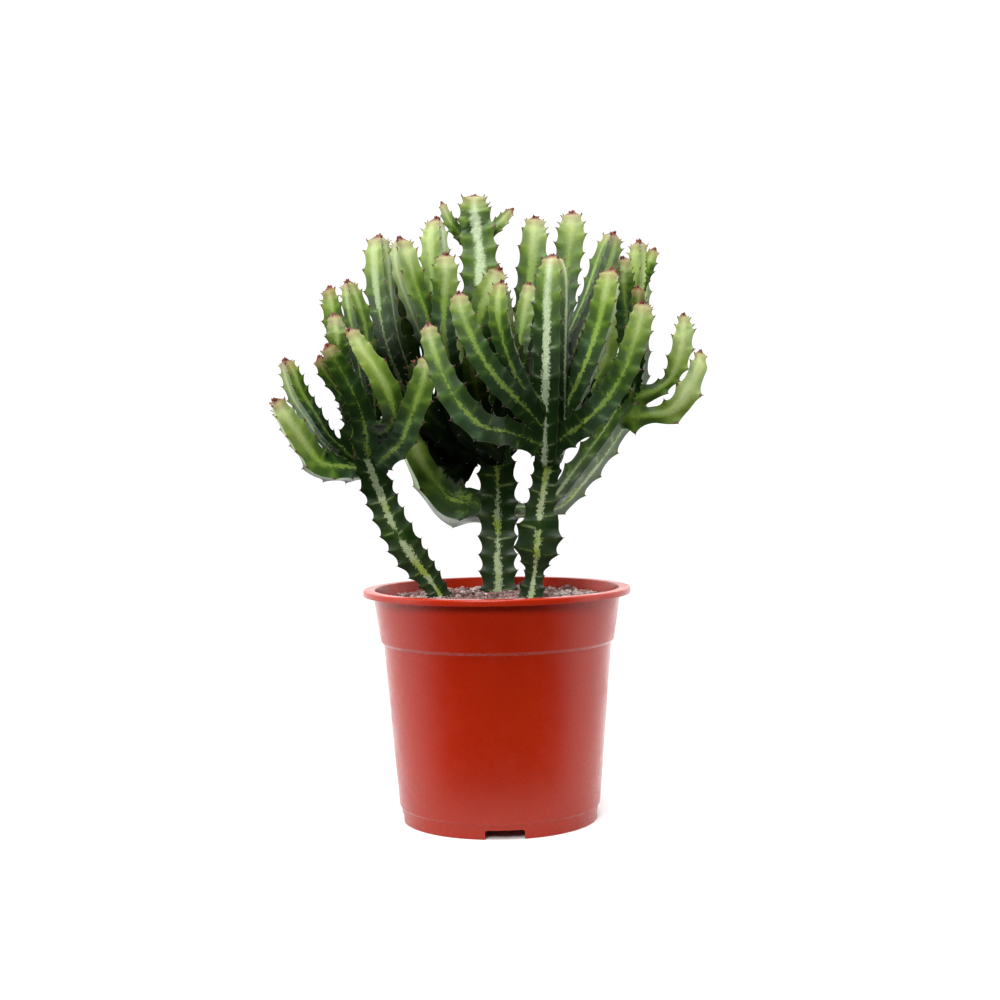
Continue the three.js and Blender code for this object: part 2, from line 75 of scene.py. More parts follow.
PLANTS = {
    "plant_left": {
        "stem": [60, (-36, 17, 122, 8), (-35.5, 16, 146, 9), (-43.5, 15, 163, 10.2),
            (-61, 11, 188, 14.7), (-72.5, 7, 209, 14.5), (-80, 4, 227, 14), (-85.5, 1, 243, 14.5),
            (-90, -3, 258, 13.5), (-91, -5, 268, 10)],
        "low_front": [-20, (-87, 8, 249, 10), (-104, 1, 248.5, 13.5), (-122.5, -15, 252, 15),
            (-131.5, -22, 263, 13), (-138, -28, 274, 13), (-145.5, -36, 288, 10.5),
            (-150, -40, 298, 8)],
        "low_back": [0, (-101, 2, 257, 8), (-117.5, -2, 270, 9.2), (-129, -8, 288, 10.5),
            (-137.5, -14, 303, 10.8), (-142, -18, 317, 9.5), (-145, -20, 326.5, 7)],
        "narrow": [25, (-89.5, 8, 250, 12.5), (-97, -2, 268, 14), (-96.5, -3, 285, 12),
            (-101, -5, 298, 10), (-109, -6, 309, 8.5), (-117, -8, 320, 8), (-122, -9, 329, 6.5)],
        "broad": [60, (-87, 5, 250, 13), (-90, -6, 266, 13), (-91, -10, 282, 12.5),
            (-96, -14, 299, 11.5), (-104, -18, 316, 10.5), (-111, -20, 328, 9.5),
            (-115, -21, 336, 7.5)],
        "forward": [-30, (-82, -6, 276, 10), (-72, -24, 288, 13.5), (-79, -35, 311, 13),
            (-90, -40, 330, 10), (-98, -42, 345, 7.5)],
        "right_arm": [60, (-79, -4, 257, 12), (-65, -18, 270, 12.3), (-57, -28, 288, 12.5),
            (-50, -34, 305, 12.3), (-46, -36, 318, 11), (-45, -36, 326, 9)],
        "tall_outer": [40, (-92, 6, 267, 10), (-101, 18, 293, 10), (-108.5, 26, 329, 10),
            (-113.3, 28, 358, 11.2), (-118, 28, 381, 7.5)],
        "tall_inner": [0, (-89, 4, 267, 10), (-89.5, 10, 299, 11.5), (-93.5, 12, 335, 13),
            (-98.3, 12, 363, 12.8), (-103.5, 12, 383.5, 8)],
        "short": [60, (-102, -8, 304, 8), (-108, -4, 328, 9), (-110, -4, 347, 9.5),
            (-112, -4, 358.5, 7)],
        "rear": [60, (-93, 4, 265, 10), (-105, 44, 293, 11), (-112, 66, 324, 11),
            (-111, 74, 350, 6.5)],
        "rear_low": [60, (-92, 6, 262, 9), (-95, 30, 276, 10), (-98, 50, 296, 10), (-97, 58, 317, 6)],
    },
    "plant_middle": {
        "stem": [60, (2, 46, 122, 9), (1, 46, 146, 14.5), (1.2, 45, 162, 16.5), (1.2, 45, 192, 17),
            (1.5, 45, 221, 18), (1, 44, 251, 17), (-2, 44, 277, 12.5), (-5, 44, 306, 14.5),
            (-7, 44, 343, 16), (-9, 44, 380, 17), (-9.5, 44, 409, 17), (-12, 44, 434, 15.5),
            (-12.5, 44, 449, 10)],
        "left_outer": [13, (-4, 44, 258, 12), (-31, 44, 271, 12.5), (-54, 44, 293, 13),
            (-72, 42, 335, 13.5), (-80, 42, 374, 15), (-82, 42, 401, 14.5), (-82.5, 42, 419, 11.5)],
        "left_front": [-10, (-4, 34, 260, 11), (-24, 18, 276, 12), (-35, 12, 309, 12.5),
            (-48, 10, 349, 13.5), (-58.5, 10, 379, 14.5), (-63.5, 10, 399, 14), (-65.5, 10, 413, 11)],
        "left_back": [15, (-2, 50, 258, 11), (-24, 64, 285, 12), (-37, 68, 323, 12.5),
            (-41, 68, 360, 13), (-41, 68, 394, 15), (-41.5, 68, 420, 14), (-41, 68, 435, 10)],
        "left_inner": [60, (-3, 36, 270, 10), (-23, 22, 299, 11), (-34, 14, 335, 11.5),
            (-34.5, 10, 366, 12), (-33, 8, 388, 12), (-33, 8, 401, 9)],
        "right_inner": [60, (2, 52, 270, 12), (17, 68, 299, 13), (24, 76, 345, 13.5),
            (28, 78, 383, 14), (31.5, 78, 417, 13.5), (33, 78, 436, 10)],
        "right_back": [52, (4, 56, 258, 12), (31, 76, 296, 13), (49, 88, 349, 13.5),
            (57, 90, 395, 13.4), (61, 90, 425, 14.2), (61.5, 90, 441, 10)],
        "small_inner": [60, (1, 40, 277, 9), (13, 42, 310, 9.5), (21, 44, 350, 9.5), (27, 44, 383, 7)],
        "low_left": [-20, (3, 50, 214, 11), (-15, 59, 217.5, 20), (-34, 62, 219.5, 24),
            (-46.5, 65.5, 231.5, 20.5), (-60.3, 70, 254.5, 16), (-66, 72, 273, 12.5),
            (-70, 72, 294, 8)],
        "low_right": [0, (4, 46, 217, 7), (25, 54, 217, 8.5), (46.5, 58, 223.5, 14),
            (60, 60, 238.5, 16), (75, 62, 257.5, 16.6), (92, 64, 281, 15.3), (104, 64, 307, 14.5),
            (109, 64, 343, 12), (109.5, 64, 384, 12), (110, 64, 415, 9.7)],
        "right_fork": [60, (108, 63, 301, 15), (121, 61, 305, 9), (131, 60, 312.5, 8),
            (136.5, 59, 324, 11.5), (140, 58, 337, 11.5), (142, 58, 349, 10), (142, 58, 360, 6)],
        "right_wing": [60, (103, 62, 285.5, 16), (117, 60, 286.5, 11), (129, 57, 288, 12),
            (138.5, 55, 295, 14), (146, 53, 308, 12), (151.5, 52, 321, 10), (153.5, 52, 332, 6)],
        "upper_right": [60, (100, 60, 302, 9), (99.5, 50, 342, 10.5), (97, 46, 374, 11),
            (96, 46, 401, 8)],
        "upper_front": [60, (104, 56, 313, 8), (107, 44, 349, 9), (106.5, 40, 379, 7)],
        "side_bud": [60, (110, 64, 382, 7), (116, 67, 398, 8), (121.5, 68, 410, 5.5)],
        "top_bud_left": [60, (-22, 44, 419, 6.5), (-31, 42, 431, 6), (-36, 41, 443, 3.5)],
        "top_bud_right": [60, (-3, 44, 420, 6), (6.5, 44, 429, 6.4), (15, 44, 438, 4.3)],
        "front_bud": [60, (-7, 42, 317, 10), (-10, 22, 353, 13), (-2.5, 18, 375, 13),
            (5, 16, 391, 9.5)],
        "inner_front": [60, (-2, 36, 262, 10), (-10, 20, 290, 11), (-14, 2, 318, 11),
            (-14, -6, 344, 7)],
        "rear_left": [60, (0, 50, 258, 11), (-13, 84, 280, 12), (-25, 112, 321, 12),
            (-30, 120, 365, 7)],
        "rear_middle": [60, (1, 52, 264, 11), (7, 94, 298, 12), (8, 114, 345, 13), (8, 120, 386, 8)],
        "rear_right": [60, (4, 52, 264, 11), (36, 92, 290, 12), (60, 117, 322, 12), (70, 122, 360, 7)],
        "rear_low": [60, (-4, 50, 266, 11), (-42, 94, 277, 12), (-63, 112, 310, 12),
            (-67, 116, 346, 7)],
        "deep_left": [60, (-3, 50, 262, 12), (-15, 60, 268, 10), (-31, 73, 247, 17),
            (-54, 84, 267, 14), (-76, 90, 290, 14), (-86, 88, 326, 11.5), (-88, 84, 352, 7)],
        "deep_outer": [60, (-3, 50, 264, 12), (-36, 70, 277, 13), (-58, 76, 304, 13),
            (-66, 72, 345, 13.5), (-73, 70, 392, 8)],
        "deep_middle": [60, (-2, 52, 262, 12), (-20, 78, 273, 13.5), (-34, 92, 292, 14),
            (-40, 94, 336, 8)],
        "deep_front": [60, (-4, 38, 262, 12), (-26, 30, 273, 12.5), (-47, 28, 290, 13),
            (-58, 30, 326, 8)],
        "deep_right": [60, (3, 52, 268, 12), (33, 80, 291, 13), (68, 92, 304, 16), (83.5, 92, 332, 14),
            (86, 90, 352, 14), (87, 90, 376, 9)],
    },
    "plant_right": {
        "stem": [60, (22, -2, 122, 9), (22.5, -2, 148, 11), (25, -2, 164, 11.5), (27, -4, 176, 9),
            (28.7, -6, 193, 19.4), (31, -8, 210, 19.3), (31.5, -10, 220, 14), (34.5, -14, 237, 12.5),
            (37, -18, 256, 13), (38, -22, 274, 13)],
        "front_pillar": [24, (38, -20, 262, 14), (39, -28, 296, 16), (40, -32, 331, 16.5),
            (41, -35, 365, 15.5), (42, -36, 385, 13), (42, -36, 393.5, 9.5)],
        "long_left": [60, (35, -22, 265, 12), (12, -34, 274, 12.5), (-8, -46, 279, 13.5),
            (-24, -54, 295, 13.5), (-34, -56, 314, 11), (-40.5, -56, 333, 9.5),
            (-43.5, -56, 346.5, 8)],
        "mid_left": [60, (35, -26, 277, 11), (18, -38, 295, 12), (4, -46, 309, 12),
            (-8, -52, 326, 11.3), (-16.5, -54, 344, 10.8), (-21, -54, 358, 10.3),
            (-22.5, -54, 367.5, 8)],
        "inner_left": [25, (35, -26, 279, 10), (23, -38, 303, 11), (13, -42, 325, 11),
            (7, -44, 348, 11), (6, -44, 364, 10), (7, -44, 375.5, 7.5)],
        "long_right": [60, (40, -22, 266, 12), (60, -34, 279.5, 13), (76, -42, 295, 12.5),
            (88, -48, 314, 12), (96, -50, 335, 11.5), (100.5, -50, 350, 11), (101.5, -50, 359.5, 8.5)],
        "mid_right": [22, (42, -18, 274, 11), (57, -26, 299, 12.5), (68, -28, 324, 13.5),
            (76, -28, 348, 13.5), (81, -28, 370, 13), (83, -28, 384.5, 10)],
        "back_right": [-10, (39, -8, 272, 11), (43, 8, 301, 12), (55, 22, 335, 12),
            (70.3, 28, 368.5, 12.1), (81.3, 30, 398, 13.6), (88, 30, 417, 10.2)],
        "inner_back": [60, (37, -12, 272, 11), (24, 2, 298, 11.5), (14, 8, 328, 11.5),
            (10, 10, 351, 6.5)],
        "inner_right": [60, (42, -10, 272, 10), (58, 2, 296, 11), (66, 6, 326, 11), (68, 8, 347, 6.5)],
    },
}
RIDGES = {"front_pillar": 4}    # the others have three
BURIED = ("plant_left", "plant_right")      # the plants whose stems end inside the crown

# How branches differ from the usual. A branch that a table leaves out is usual.
WIDE_TOOTHED = {"low_left": 1.4, "right_wing": 1.5, "right_fork": 1.25,
                "low_right": 1.15}          # the teeth stand this many times as far apart
LONG_TOOTHED = {"low_left": 0.24, "right_wing": 0.34, "right_fork": 0.3,
                "low_right": 0.22}          # tooth height over ridge radius
PALE = {"front_pillar": 0.95, "stem": 0.6, "left_outer": 0.5, "low_right": 0.5}   # how milky it is
FAINT = {"low_left": 0.45, "low_right": 0.5, "long_left": 0.35, "right_arm": 0.3, "broad": 0.35,
         "narrow": 0.3, "low_back": 0.3, "upper_right": 0.3}    # how weak its pale band is
FULL_BANDED = ("front_pillar",)             # its pale band starts at its very foot
STEM_GAPS = {"plant_left": (197, 209), "plant_right": (205, 214)}   # heights of a break in the band
AGED = {"plant_left": 0.06, "plant_middle": -0.06, "plant_right": 0.12}   # the plant looks older
FRESH = {"low_right": 0.14, "low_left": 0.1, "right_fork": 0.15, "right_wing": 0.15,
         "low_front": 0.2, "forward": 0.14, "deep_right": 0.08, "stem": -0.04}   # it looks younger
OLDEST = {"low_right": 0.78, "right_fork": 0.74, "right_wing": 0.78,
          "deep_right": 0.8}                # the age that its oldest part stops at
SHADED_BELOW = {"left_outer": 346, "left_front": 352, "left_back": 356, "left_inner": 335,
                "right_inner": 310, "right_back": 305, "small_inner": 325, "front_bud": 322,
                "back_right": 335, "tall_inner": 288,
                "forward": 272}             # the height up to which shade is painted on it
INNER = {"rear": 0.6, "rear_left": 0.6, "rear_middle": 0.6, "rear_right": 0.6, "rear_low": 0.7,
         "deep_left": 1, "deep_outer": 1, "deep_middle": 1, "deep_front": 1,
         "inner_front": 0.9, "inner_right": 0.9, "inner_back": 0.9}   # how much shade is painted on it, all the way up
OPEN_AIR = {"low_right": 0.15, "right_fork": 0.15, "right_wing": 0.15, "low_left": 0.3,
            "low_front": 0.6, "forward": 0.7, "deep_right": 0.8}    # its share of the crowding's painted shade

RING_STEP = 1.3      # along a branch
PATH_STEPS = 60                 # from one control point of a path to the next
ACROSS = (-1, -0.95, -0.85, -0.64, -0.34, 0, 0.34, 0.64, 0.85, 0.95)   # points over one face
VALLEY = {3: 0.42, 4: 0.68}     # radius of a face's middle over ridge radius
FACE_POWER = 3.2                # how sharply a face turns up into its ridge
STEM_PITCH, BRANCH_PITCH = 0.82, (0.95, 1.2)    # tooth spacing over ridge radius
PITCH_SPREAD = (0.86, 1.14)     # how unevenly teeth are spaced
TOOTH_DEPTH = 0.2               # tooth height over ridge radius
TOOTH_DIP = 0.42                # where the dip lies, from one tooth to the next
TOOTH_POWER = {True: 5, False: 8}   # how near its ridge a tooth stays, on stems and branches
TOOTH_HOOK = 0.9                # how far a tooth's point leans up the branch
WOBBLE, WOBBLE_LENGTH = 0.05, 17    # a face's slow swelling: share of its radius, millimetres
VEIN_LEAN = 0.12                # how far a vein rises from its tooth, over ridge radius
VEIN_SWELL = 0.35               # how far a stem's skin swells between its veins
ROOT_LENGTH = 10                # how far a branch goes on back into its parent
BASE_FILL, BASE_REACH = 0.16, 22    # a branch's faces are fuller where it leaves its parent
SEAM_REACH, SEAM_PASSES = 2.4, 14   # the soft fillet where branches meet
TIP_SETBACK = 1.6               # from the end of a path back to its last ring
TIP_TAPER, TIP_REACH = 0.14, 5.0    # how much a branch narrows at its tip, and over what length
TIP_RINGS = ((0.74, 1.0), (0.48, 2.2), (0.26, 3.3))     # share of the radius, rise
TIP_RISE = 4.0                  # from the last ring to the very top
TIP_LEAVES = 9
LEADER_RISE = 0.5               # the leader's broad tip rises less
LEADER_MILKY = (330, 60)        # the leader gets milkier from this height, over this length
GREEN_REACH = {True: 150, False: 88}    # from a stem's or a branch's tip to its oldest growth
BURIED_AGE = 0.72               # the age at the top of a stem that ends in the crown
BARE_REACH = 38                 # how far a branch's band fades out at its base
SHADE_REACH = 24                # over what height the painted shade fades, on each side of its limit
CROWD_CELL = 9.0                # the cells that crowding is counted in
SPINE_LENGTH, SPINE_RADIUS = 1.5, 0.34
PLANT_SHARP, POT_SHARP, GRIT_SHARP, STONE_SHARP = 52, 38, 30, 50    # degrees that stay an edge


# ---- colour and node helpers ----------------------------------------------------

def srgb(red, green, blue):
    def linear(value):
        value /= 255
        return value / 12.92 if value <= 0.04045 else ((value + 0.055) / 1.055) ** 2.4
    return (linear(red), linear(green), linear(blue), 1.0)


class Value:
    """A number worked out by a material's nodes, which adds and multiplies like any other."""

    def __init__(self, graph, socket):
        self.graph, self.socket = graph, socket

    def __add__(self, other):
        return self.graph.math("ADD", self, other)

    def __sub__(self, other):
        return self.graph.math("SUBTRACT", self, other)

    def __rsub__(self, other):
        return self.graph.math("SUBTRACT", other, self)

    def __mul__(self, other):
        return self.graph.math("MULTIPLY", self, other)

    def __truediv__(self, other):
        return self.graph.math("DIVIDE", self, other)

    def __abs__(self):
        return self.graph.math("ABSOLUTE", self)

    def fraction(self):
        return self.graph.math("FRACT", self)

    def most(self, other):
        return self.graph.math("MAXIMUM", self, other)

    def smooth(self, low, high, to_low=0.0, to_high=1.0):
        """Runs smoothly from to_low, where this is low, to to_high, where it is high."""
        return self.graph.add("MapRange", (self, low, high, to_low, to_high),
                              interpolation_type="SMOOTHSTEP")


class Graph:
    """A material's node tree, with short calls for the nodes used here."""

    def __init__(self, name):
        self.material = bpy.data.materials.new(name)
        self.material.use_nodes = True
        self.nodes = self.material.node_tree.nodes
        self.links = self.material.node_tree.links
        self.shader = self.nodes["Principled BSDF"]
        self.place = self.nodes.new("ShaderNodeTexCoord").outputs["Object"]

    def put(self, socket, value):
        if isinstance(value, Value):
            value = value.socket
        if isinstance(value, bpy.types.NodeSocket):
            self.links.new(value, socket)
        else:
            socket.default_value = value

    def add(self, kind, inputs, output=0, **settings):
        """A node of a kind; inputs are its values in order, or a dict of them by name."""
        node = self.nodes.new("ShaderNode" + kind)
        for name, setting in settings.items():
            setattr(node, name, setting)
        named = inputs.items() if isinstance(inputs, dict) else enumerate(inputs)
        for key, value in named:
            self.put(node.inputs[key], value)
        return Value(self, node.outputs[output])

    def attribute(self, name):
        return self.add("Attribute", (), "Fac", attribute_name=name)

    def math(self, operation, *values):
        return self.add("Math", values, operation=operation)

    def mix(self, factor, a, b, blend="MIX"):
        return self.add("Mix", {0: factor, 6: a, 7: b}, 2, data_type="RGBA", blend_type=blend)

    def ramp(self, value, stops):
        ramp = self.add("ValToRGB", (value,))
        elements = ramp.socket.node.color_ramp.elements
        while len(elements) < len(stops):
            elements.new(1.0)
        for element, (position, colour) in zip(elements, stops):
            element.position = position
            element.color = colour
        return ramp

    def stretched(self, scale):
        return self.add("Mapping", {"Vector": self.place, "Scale": scale})

    def noise(self, vector, scale, detail=3, roughness=0.5):
        return self.add("TexNoise", {"Vector": vector, "Scale": scale, "Detail": detail,
                                     "Roughness": roughness}, "Fac")

    def bump(self, height, strength, distance):
        normal = self.add("Bump", {"Strength": strength, "Distance": distance, "Height": height})
        self.put(self.shader.inputs["Normal"], normal)

    def finish(self, colour, roughness, ior=1.5):
        self.put(self.shader.inputs["Base Color"], colour)
        self.put(self.shader.inputs["Roughness"], roughness)
        self.shader.inputs["IOR"].default_value = ior
        return self.material


# ---- meshes ---------------------------------------------------------------------

def new_object(name, points, faces, material=None, smooth=True, inside=False):
    """An object from points in millimetres from the pot's axis; inside keeps it in the CAD's box."""
    mesh = bpy.data.meshes.new(name)
    places = np.asarray(points) * MM + AXIS
    if inside:
        places = np.clip(places, np.array(CAD_BOX[0]) + BOX_INSET, np.array(CAD_BOX[1]) - BOX_INSET)
    mesh.from_pydata(places.tolist(), [], faces)
    mesh.validate()
    if smooth:
        mesh.shade_smooth()
    piece = bpy.data.objects.new(name, mesh)
    bpy.context.scene.collection.objects.link(piece)
    if material:
        mesh.materials.append(material)
    return piece


def add_values(mesh, name, values):
    layer = mesh.attributes.new(name, "FLOAT", "POINT")
    layer.data.foreach_set("value", np.asarray(values, np.float32))


def joined_arrays(parts):
    """Points and faces of several (points, faces) pairs as one pair."""
    points, faces, offset = [], [], 0
    for some_points, some_faces in parts:
        points.append(some_points)
        faces.extend([tuple(i + offset for i in face) for face in some_faces])
        offset += len(some_points)
    return np.vstack(points), faces


def combined(base, others, operation):
    """Joins overlapping closed meshes to a closed mesh, or cuts them out; they are used up."""
    for other in others:
        modifier = base.modifiers.new("combine", "BOOLEAN")
        modifier.operation = operation
        modifier.solver = "MANIFOLD"
        modifier.object = other
    graph = bpy.context.evaluated_depsgraph_get()
    mesh = bpy.data.meshes.new_from_object(base.evaluated_get(graph))
    base.modifiers.clear()
    base.data = mesh
    for other in others:
        bpy.data.objects.remove(other)


def dress_surface(mesh, material, sharp):
    """Gives a mesh one material, and smooth shading except at edges sharper than an angle."""
    mesh.materials.clear()
    mesh.materials.append(material)
    mesh.shade_smooth()
    mesh.set_sharp_from_angle(angle=math.radians(sharp))


def tree_of(points):
    """A tree that finds the point nearest a place."""
    tree = kdtree.KDTree(len(points))
    for index, point in enumerate(points):
        tree.insert(point, index)
    tree.balance()
    return tree


# ---- branches -------------------------------------------------------------------

FRONT = np.array([0.0, -1.0, 0.0])


def catmull_rom(points, t):
    last = len(points) - 2
    padded = np.vstack([2 * points[0] - points[1], points, 2 * points[-1] - points[-2]])
    i = np.clip(t.astype(int), 0, last)
    w = (t - i)[:, None]
    before, start, end, after = padded[i], padded[i + 1], padded[i + 2], padded[i + 3]
    leave, arrive = (end - before) / 2, (after - start) / 2
    return ((2 * start - 2 * end + leave + arrive) * w ** 3
            + (-3 * start + 3 * end - 2 * leave - arrive) * w ** 2 + leave * w + start)


def unit(vectors):
    return vectors / np.linalg.norm(vectors, axis=-1, keepdims=True)


def face_share(across, ridges):
    """How far a point lies from the middle of its face to the ridge: 0 to 1, square to the face."""
    half = math.pi / ridges
    reach = VALLEY[ridges] + (1 - VALLEY[ridges]) * np.abs(across) ** FACE_POWER
    return reach * np.sin(half * np.abs(across)) / math.sin(half)


def ring_faces(low, high, columns):
    """The faces from the ring of points that starts at index low to the one at high."""
    return [(low + here, low + (here + 1) % columns, high + (here + 1) % columns, high + here)
            for here in range(columns)]


class Branch:
    """A ridged, toothed stem: dense rings along its path, with values for its skin."""

    def __init__(self, plant, name, data, draw):
        self.name, self.plant = name, plant
        self.is_stem = name == "stem"
        self.ridges = RIDGES.get(name, 3)
        self.turn = math.radians(data[0])
        self.draw = draw
        self.pitch = STEM_PITCH if self.is_stem else draw.uniform(*BRANCH_PITCH)
        self.pitch *= WIDE_TOOTHED.get(name, 1)
        self.depth = LONG_TOOTHED.get(name, TOOTH_DEPTH)
        self.buried = self.is_stem and plant in BURIED
        self.measure_path(np.array(data[1:], float))
        self.teeth = [self.tooth_places() for _ in range(self.ridges)]
        self.make_rings()
        self.close_ends()

    def measure_path(self, control):
        """The rings' centres, radii and directions, along a smooth path through control."""
        fine = catmull_rom(control, np.linspace(0, len(control) - 1, PATH_STEPS * (len(control) - 1) + 1))
        if not self.is_stem:
            back = unit(fine[0, :3] - fine[1, :3])
            root = [np.append(fine[0, :3] + back * ROOT_LENGTH * k, fine[0, 3] * (1 - 0.25 * k))
                    for k in np.linspace(1, 0.1, 10)]
            fine = np.vstack([root, fine])
        steps = np.linalg.norm(np.diff(fine[:, :3], axis=0), axis=1)
        run = np.concatenate([[0], np.cumsum(steps)])
        self.length = run[-1] - TIP_SETBACK
        count = max(8, int(round(self.length / RING_STEP)))
        self.s = np.linspace(0, self.length, count + 1)
        self.centre = np.stack([np.interp(self.s, run, fine[:, k]) for k in range(3)], 1)
        self.radius = np.interp(self.s, run, fine[:, 3])
        if not self.is_stem:
            self.radius *= 1 - TIP_TAPER * np.exp(-((self.length - self.s) / TIP_REACH) ** 1.5)
        self.tangent = unit(np.gradient(self.centre, axis=0))
        self.ahead = unit(FRONT - self.tangent * (self.tangent @ FRONT)[:, None])
        self.side = np.cross(self.tangent, self.ahead)

    def tooth_places(self):
        """Where one ridge's teeth stand: evenly but not exactly, crowded at the tip."""
        places = [-self.draw.uniform(0, 8)]
        while places[-1] < self.length - 9:
            radius = np.interp(places[-1], self.s, self.radius)
            places.append(places[-1] + self.pitch * radius * self.draw.uniform(*PITCH_SPREAD))
        places[-1] = min(places[-1], self.length - 6)
        places.append(self.length - self.draw.uniform(0.2, 1.6))
        places.append(self.length + 4)
        return np.array(places)

    def count(self, ridge, s):
        """How many of a ridge's teeth lie below s, with the part of the next."""
        places = self.teeth[ridge]
        k = np.clip(np.searchsorted(places, s, side="right") - 1, 0, len(places) - 2)
        return k + np.clip((s - places[k]) / (places[k + 1] - places[k]), 0, 1)

    def tooth_height(self, ridge, s):
        """1 at a tooth, 0 in the dip: steep just above a tooth, gentle below the next."""
        w = self.count(ridge, s) % 1
        sharp = 1 if self.is_stem else 1.35
        above = np.clip((TOOTH_DIP - w) / TOOTH_DIP, 0, 1) ** (1.7 * sharp)
        below = np.clip((w - TOOTH_DIP) / (1 - TOOTH_DIP), 0, 1) ** (2.1 * sharp)
        return np.maximum(above, below)

    def pulled_to_teeth(self, across, near):
        """How far along the points of the rings lie, with ridge points pulled onto their teeth."""
        s_grid = np.tile(self.s[:, None], (1, len(across)))
        for ridge, places in enumerate(self.teeth):
            gap = places[:, None] - self.s[None, :]
            closest = gap[np.argmin(np.abs(gap), axis=0), np.arange(len(self.s))]
            shift = np.where(np.abs(closest) <= RING_STEP / 2, closest, 0)
            s_grid[:, (near == ridge) & (np.abs(across) > 0.9)] += shift[:, None]
        return s_grid

    def reaches(self, s_grid, across, face, height, count):
        """How far the points of the rings lie from the centre line."""
        radius, lift = self.radius[:, None], np.abs(across)
        wobble = 1 + WOBBLE * np.sin(s_grid / WOBBLE_LENGTH + self.draw.uniform(0, 6) + face * 2)
        fill = 0 if self.is_stem else BASE_FILL * np.exp(-(s_grid / BASE_REACH) ** 2)
        valley = radius * (VALLEY[self.ridges] + fill) * wobble
        reach = valley + (radius * (1 - self.depth) - valley) * lift ** FACE_POWER
        reach += radius * self.depth * height * lift ** TOOTH_POWER[self.is_stem]
        if self.is_stem:              # the skin swells a little along the pale veins
            vein = np.clip(np.cos(2 * math.pi * count), 0, 1) ** 4
            reach += VEIN_SWELL * vein * (lift ** 0.7 * (1 - lift ** 8))
        return reach

    def make_rings(self):
        """The rings' points and faces, and the values that colour their skin."""
        n = self.ridges
        across = np.tile(ACROSS, n)
        face = np.repeat(np.arange(n), len(ACROSS))
        near = np.where(across < 0, face, (face + 1) % n)       # the ridge that a point is by
        angle = self.turn + (face + (across + 1) / 2) * 2 * math.pi / n
        edge = np.abs(across) ** 8
        s_grid = self.pulled_to_teeth(across, near)
        lean = VEIN_LEAN * self.radius[:, None] * (1 - np.abs(across))
        height, count = np.zeros_like(s_grid), np.zeros_like(s_grid)
        for ridge in range(n):
            columns = near == ridge
            height[:, columns] = self.tooth_height(ridge, s_grid[:, columns])
            count[:, columns] = self.count(ridge, (s_grid + lean)[:, columns])
        reach = self.reaches(s_grid, across, face, height, count)
        along = s_grid - self.s[:, None] + TOOTH_HOOK * height ** 3 * edge
        self.direction = (self.ahead[:, None, :] * np.cos(angle)[:, None]
                          + self.side[:, None, :] * np.sin(angle)[:, None])
        self.points = (self.centre[:, None, :] + self.direction * reach[:, :, None]
                       + self.tangent[:, None, :] * along[:, :, None]).reshape(-1, 3)
        self.columns = len(across)
        values = {"across": face_share(across, n), "hand": np.sign(across) * (np.abs(across) < 1),
                  "from_tip": self.length - s_grid, "along": s_grid, "count": count,
                  "age": self.ages(s_grid), "tooth": height * edge}
        self.values = {key: np.broadcast_to(value, s_grid.shape).ravel()
                       for key, value in values.items()}
        self.faces = []
        for row in range(len(self.s) - 1):
            self.faces += ring_faces(row * self.columns, (row + 1) * self.columns, self.columns)

    def ages(self, s):
        """0 at a growing tip and 1 on the oldest wood."""
        if self.buried:
            return BURIED_AGE + (1 - BURIED_AGE) * (self.length - s) / self.length
        return np.clip((self.length - s) / GREEN_REACH[self.is_stem], 0, OLDEST.get(self.name, 1))

    def close_ends(self):
        """A flat foot, and a low crown that rises inside the last teeth."""
        tip, up, columns = self.centre[-1], self.tangent[-1], self.columns
        rises = LEADER_RISE if self.is_stem else 1
        last = self.points[-columns:] - tip
        flat = last - (last @ up)[:, None] * up
        crown = [tip + flat * share + up * rise * rises for share, rise in TIP_RINGS]
        self.apex = tip + up * TIP_RISE * rises
        start = len(self.points) - columns
        for _ in crown:
            self.faces += ring_faces(start, start + columns, columns)
            start += columns
        apex = start + columns
        self.faces += [(start + here, start + (here + 1) % columns, apex) for here in range(columns)]
        self.faces += [((here + 1) % columns, here, apex + 1) for here in range(columns)]
        foot = self.centre[0] - 0.2 * self.tangent[0]
        self.points = np.vstack([self.points, *crown, self.apex, foot])
        for key, value in self.values.items():
            rings = [value[-columns:] * (key != "tooth") - (ring + 1.0) * (key == "from_tip")
                     for ring in range(len(crown))]
            ends = [-4.0 if key == "from_tip" else 0.0, value[0]]
            self.values[key] = np.concatenate([value, *rings, ends])

    def spine_roots(self):
        """(point, outward, up, row) at each tooth."""
        roots, rows = [], len(self.s)
        for ridge, places in enumerate(self.teeth):
            column = ridge * len(ACROSS)
            for place in places:
                row = int(round(place / self.length * (rows - 1)))
                if 0 < row < rows:
                    point = self.points[row * self.columns + column]
                    roots.append((point, self.direction[row, column], self.tangent[row], row))
        return roots


# ---- spines and leaflets --------------------------------------------------------

def spike(root, direction, length, radius, sides=5):
    """A closed, slender cone."""
    direction = unit(np.asarray(direction, float))
    helper = np.array([0.3, 0.2, 0.93]) if abs(direction[2]) < 0.9 else np.array([1.0, 0.1, 0])
    a = unit(np.cross(direction, helper))
    b = np.cross(direction, a)
    angles = np.arange(sides) * 2 * math.pi / sides
    base = root + radius * (np.cos(angles)[:, None] * a + np.sin(angles)[:, None] * b)
    points = np.vstack([base, (root + direction * length)[None, :]])
    faces = [(i, (i + 1) % sides, sides) for i in range(sides)]
    faces.append(tuple(reversed(range(sides))))
    return points, faces


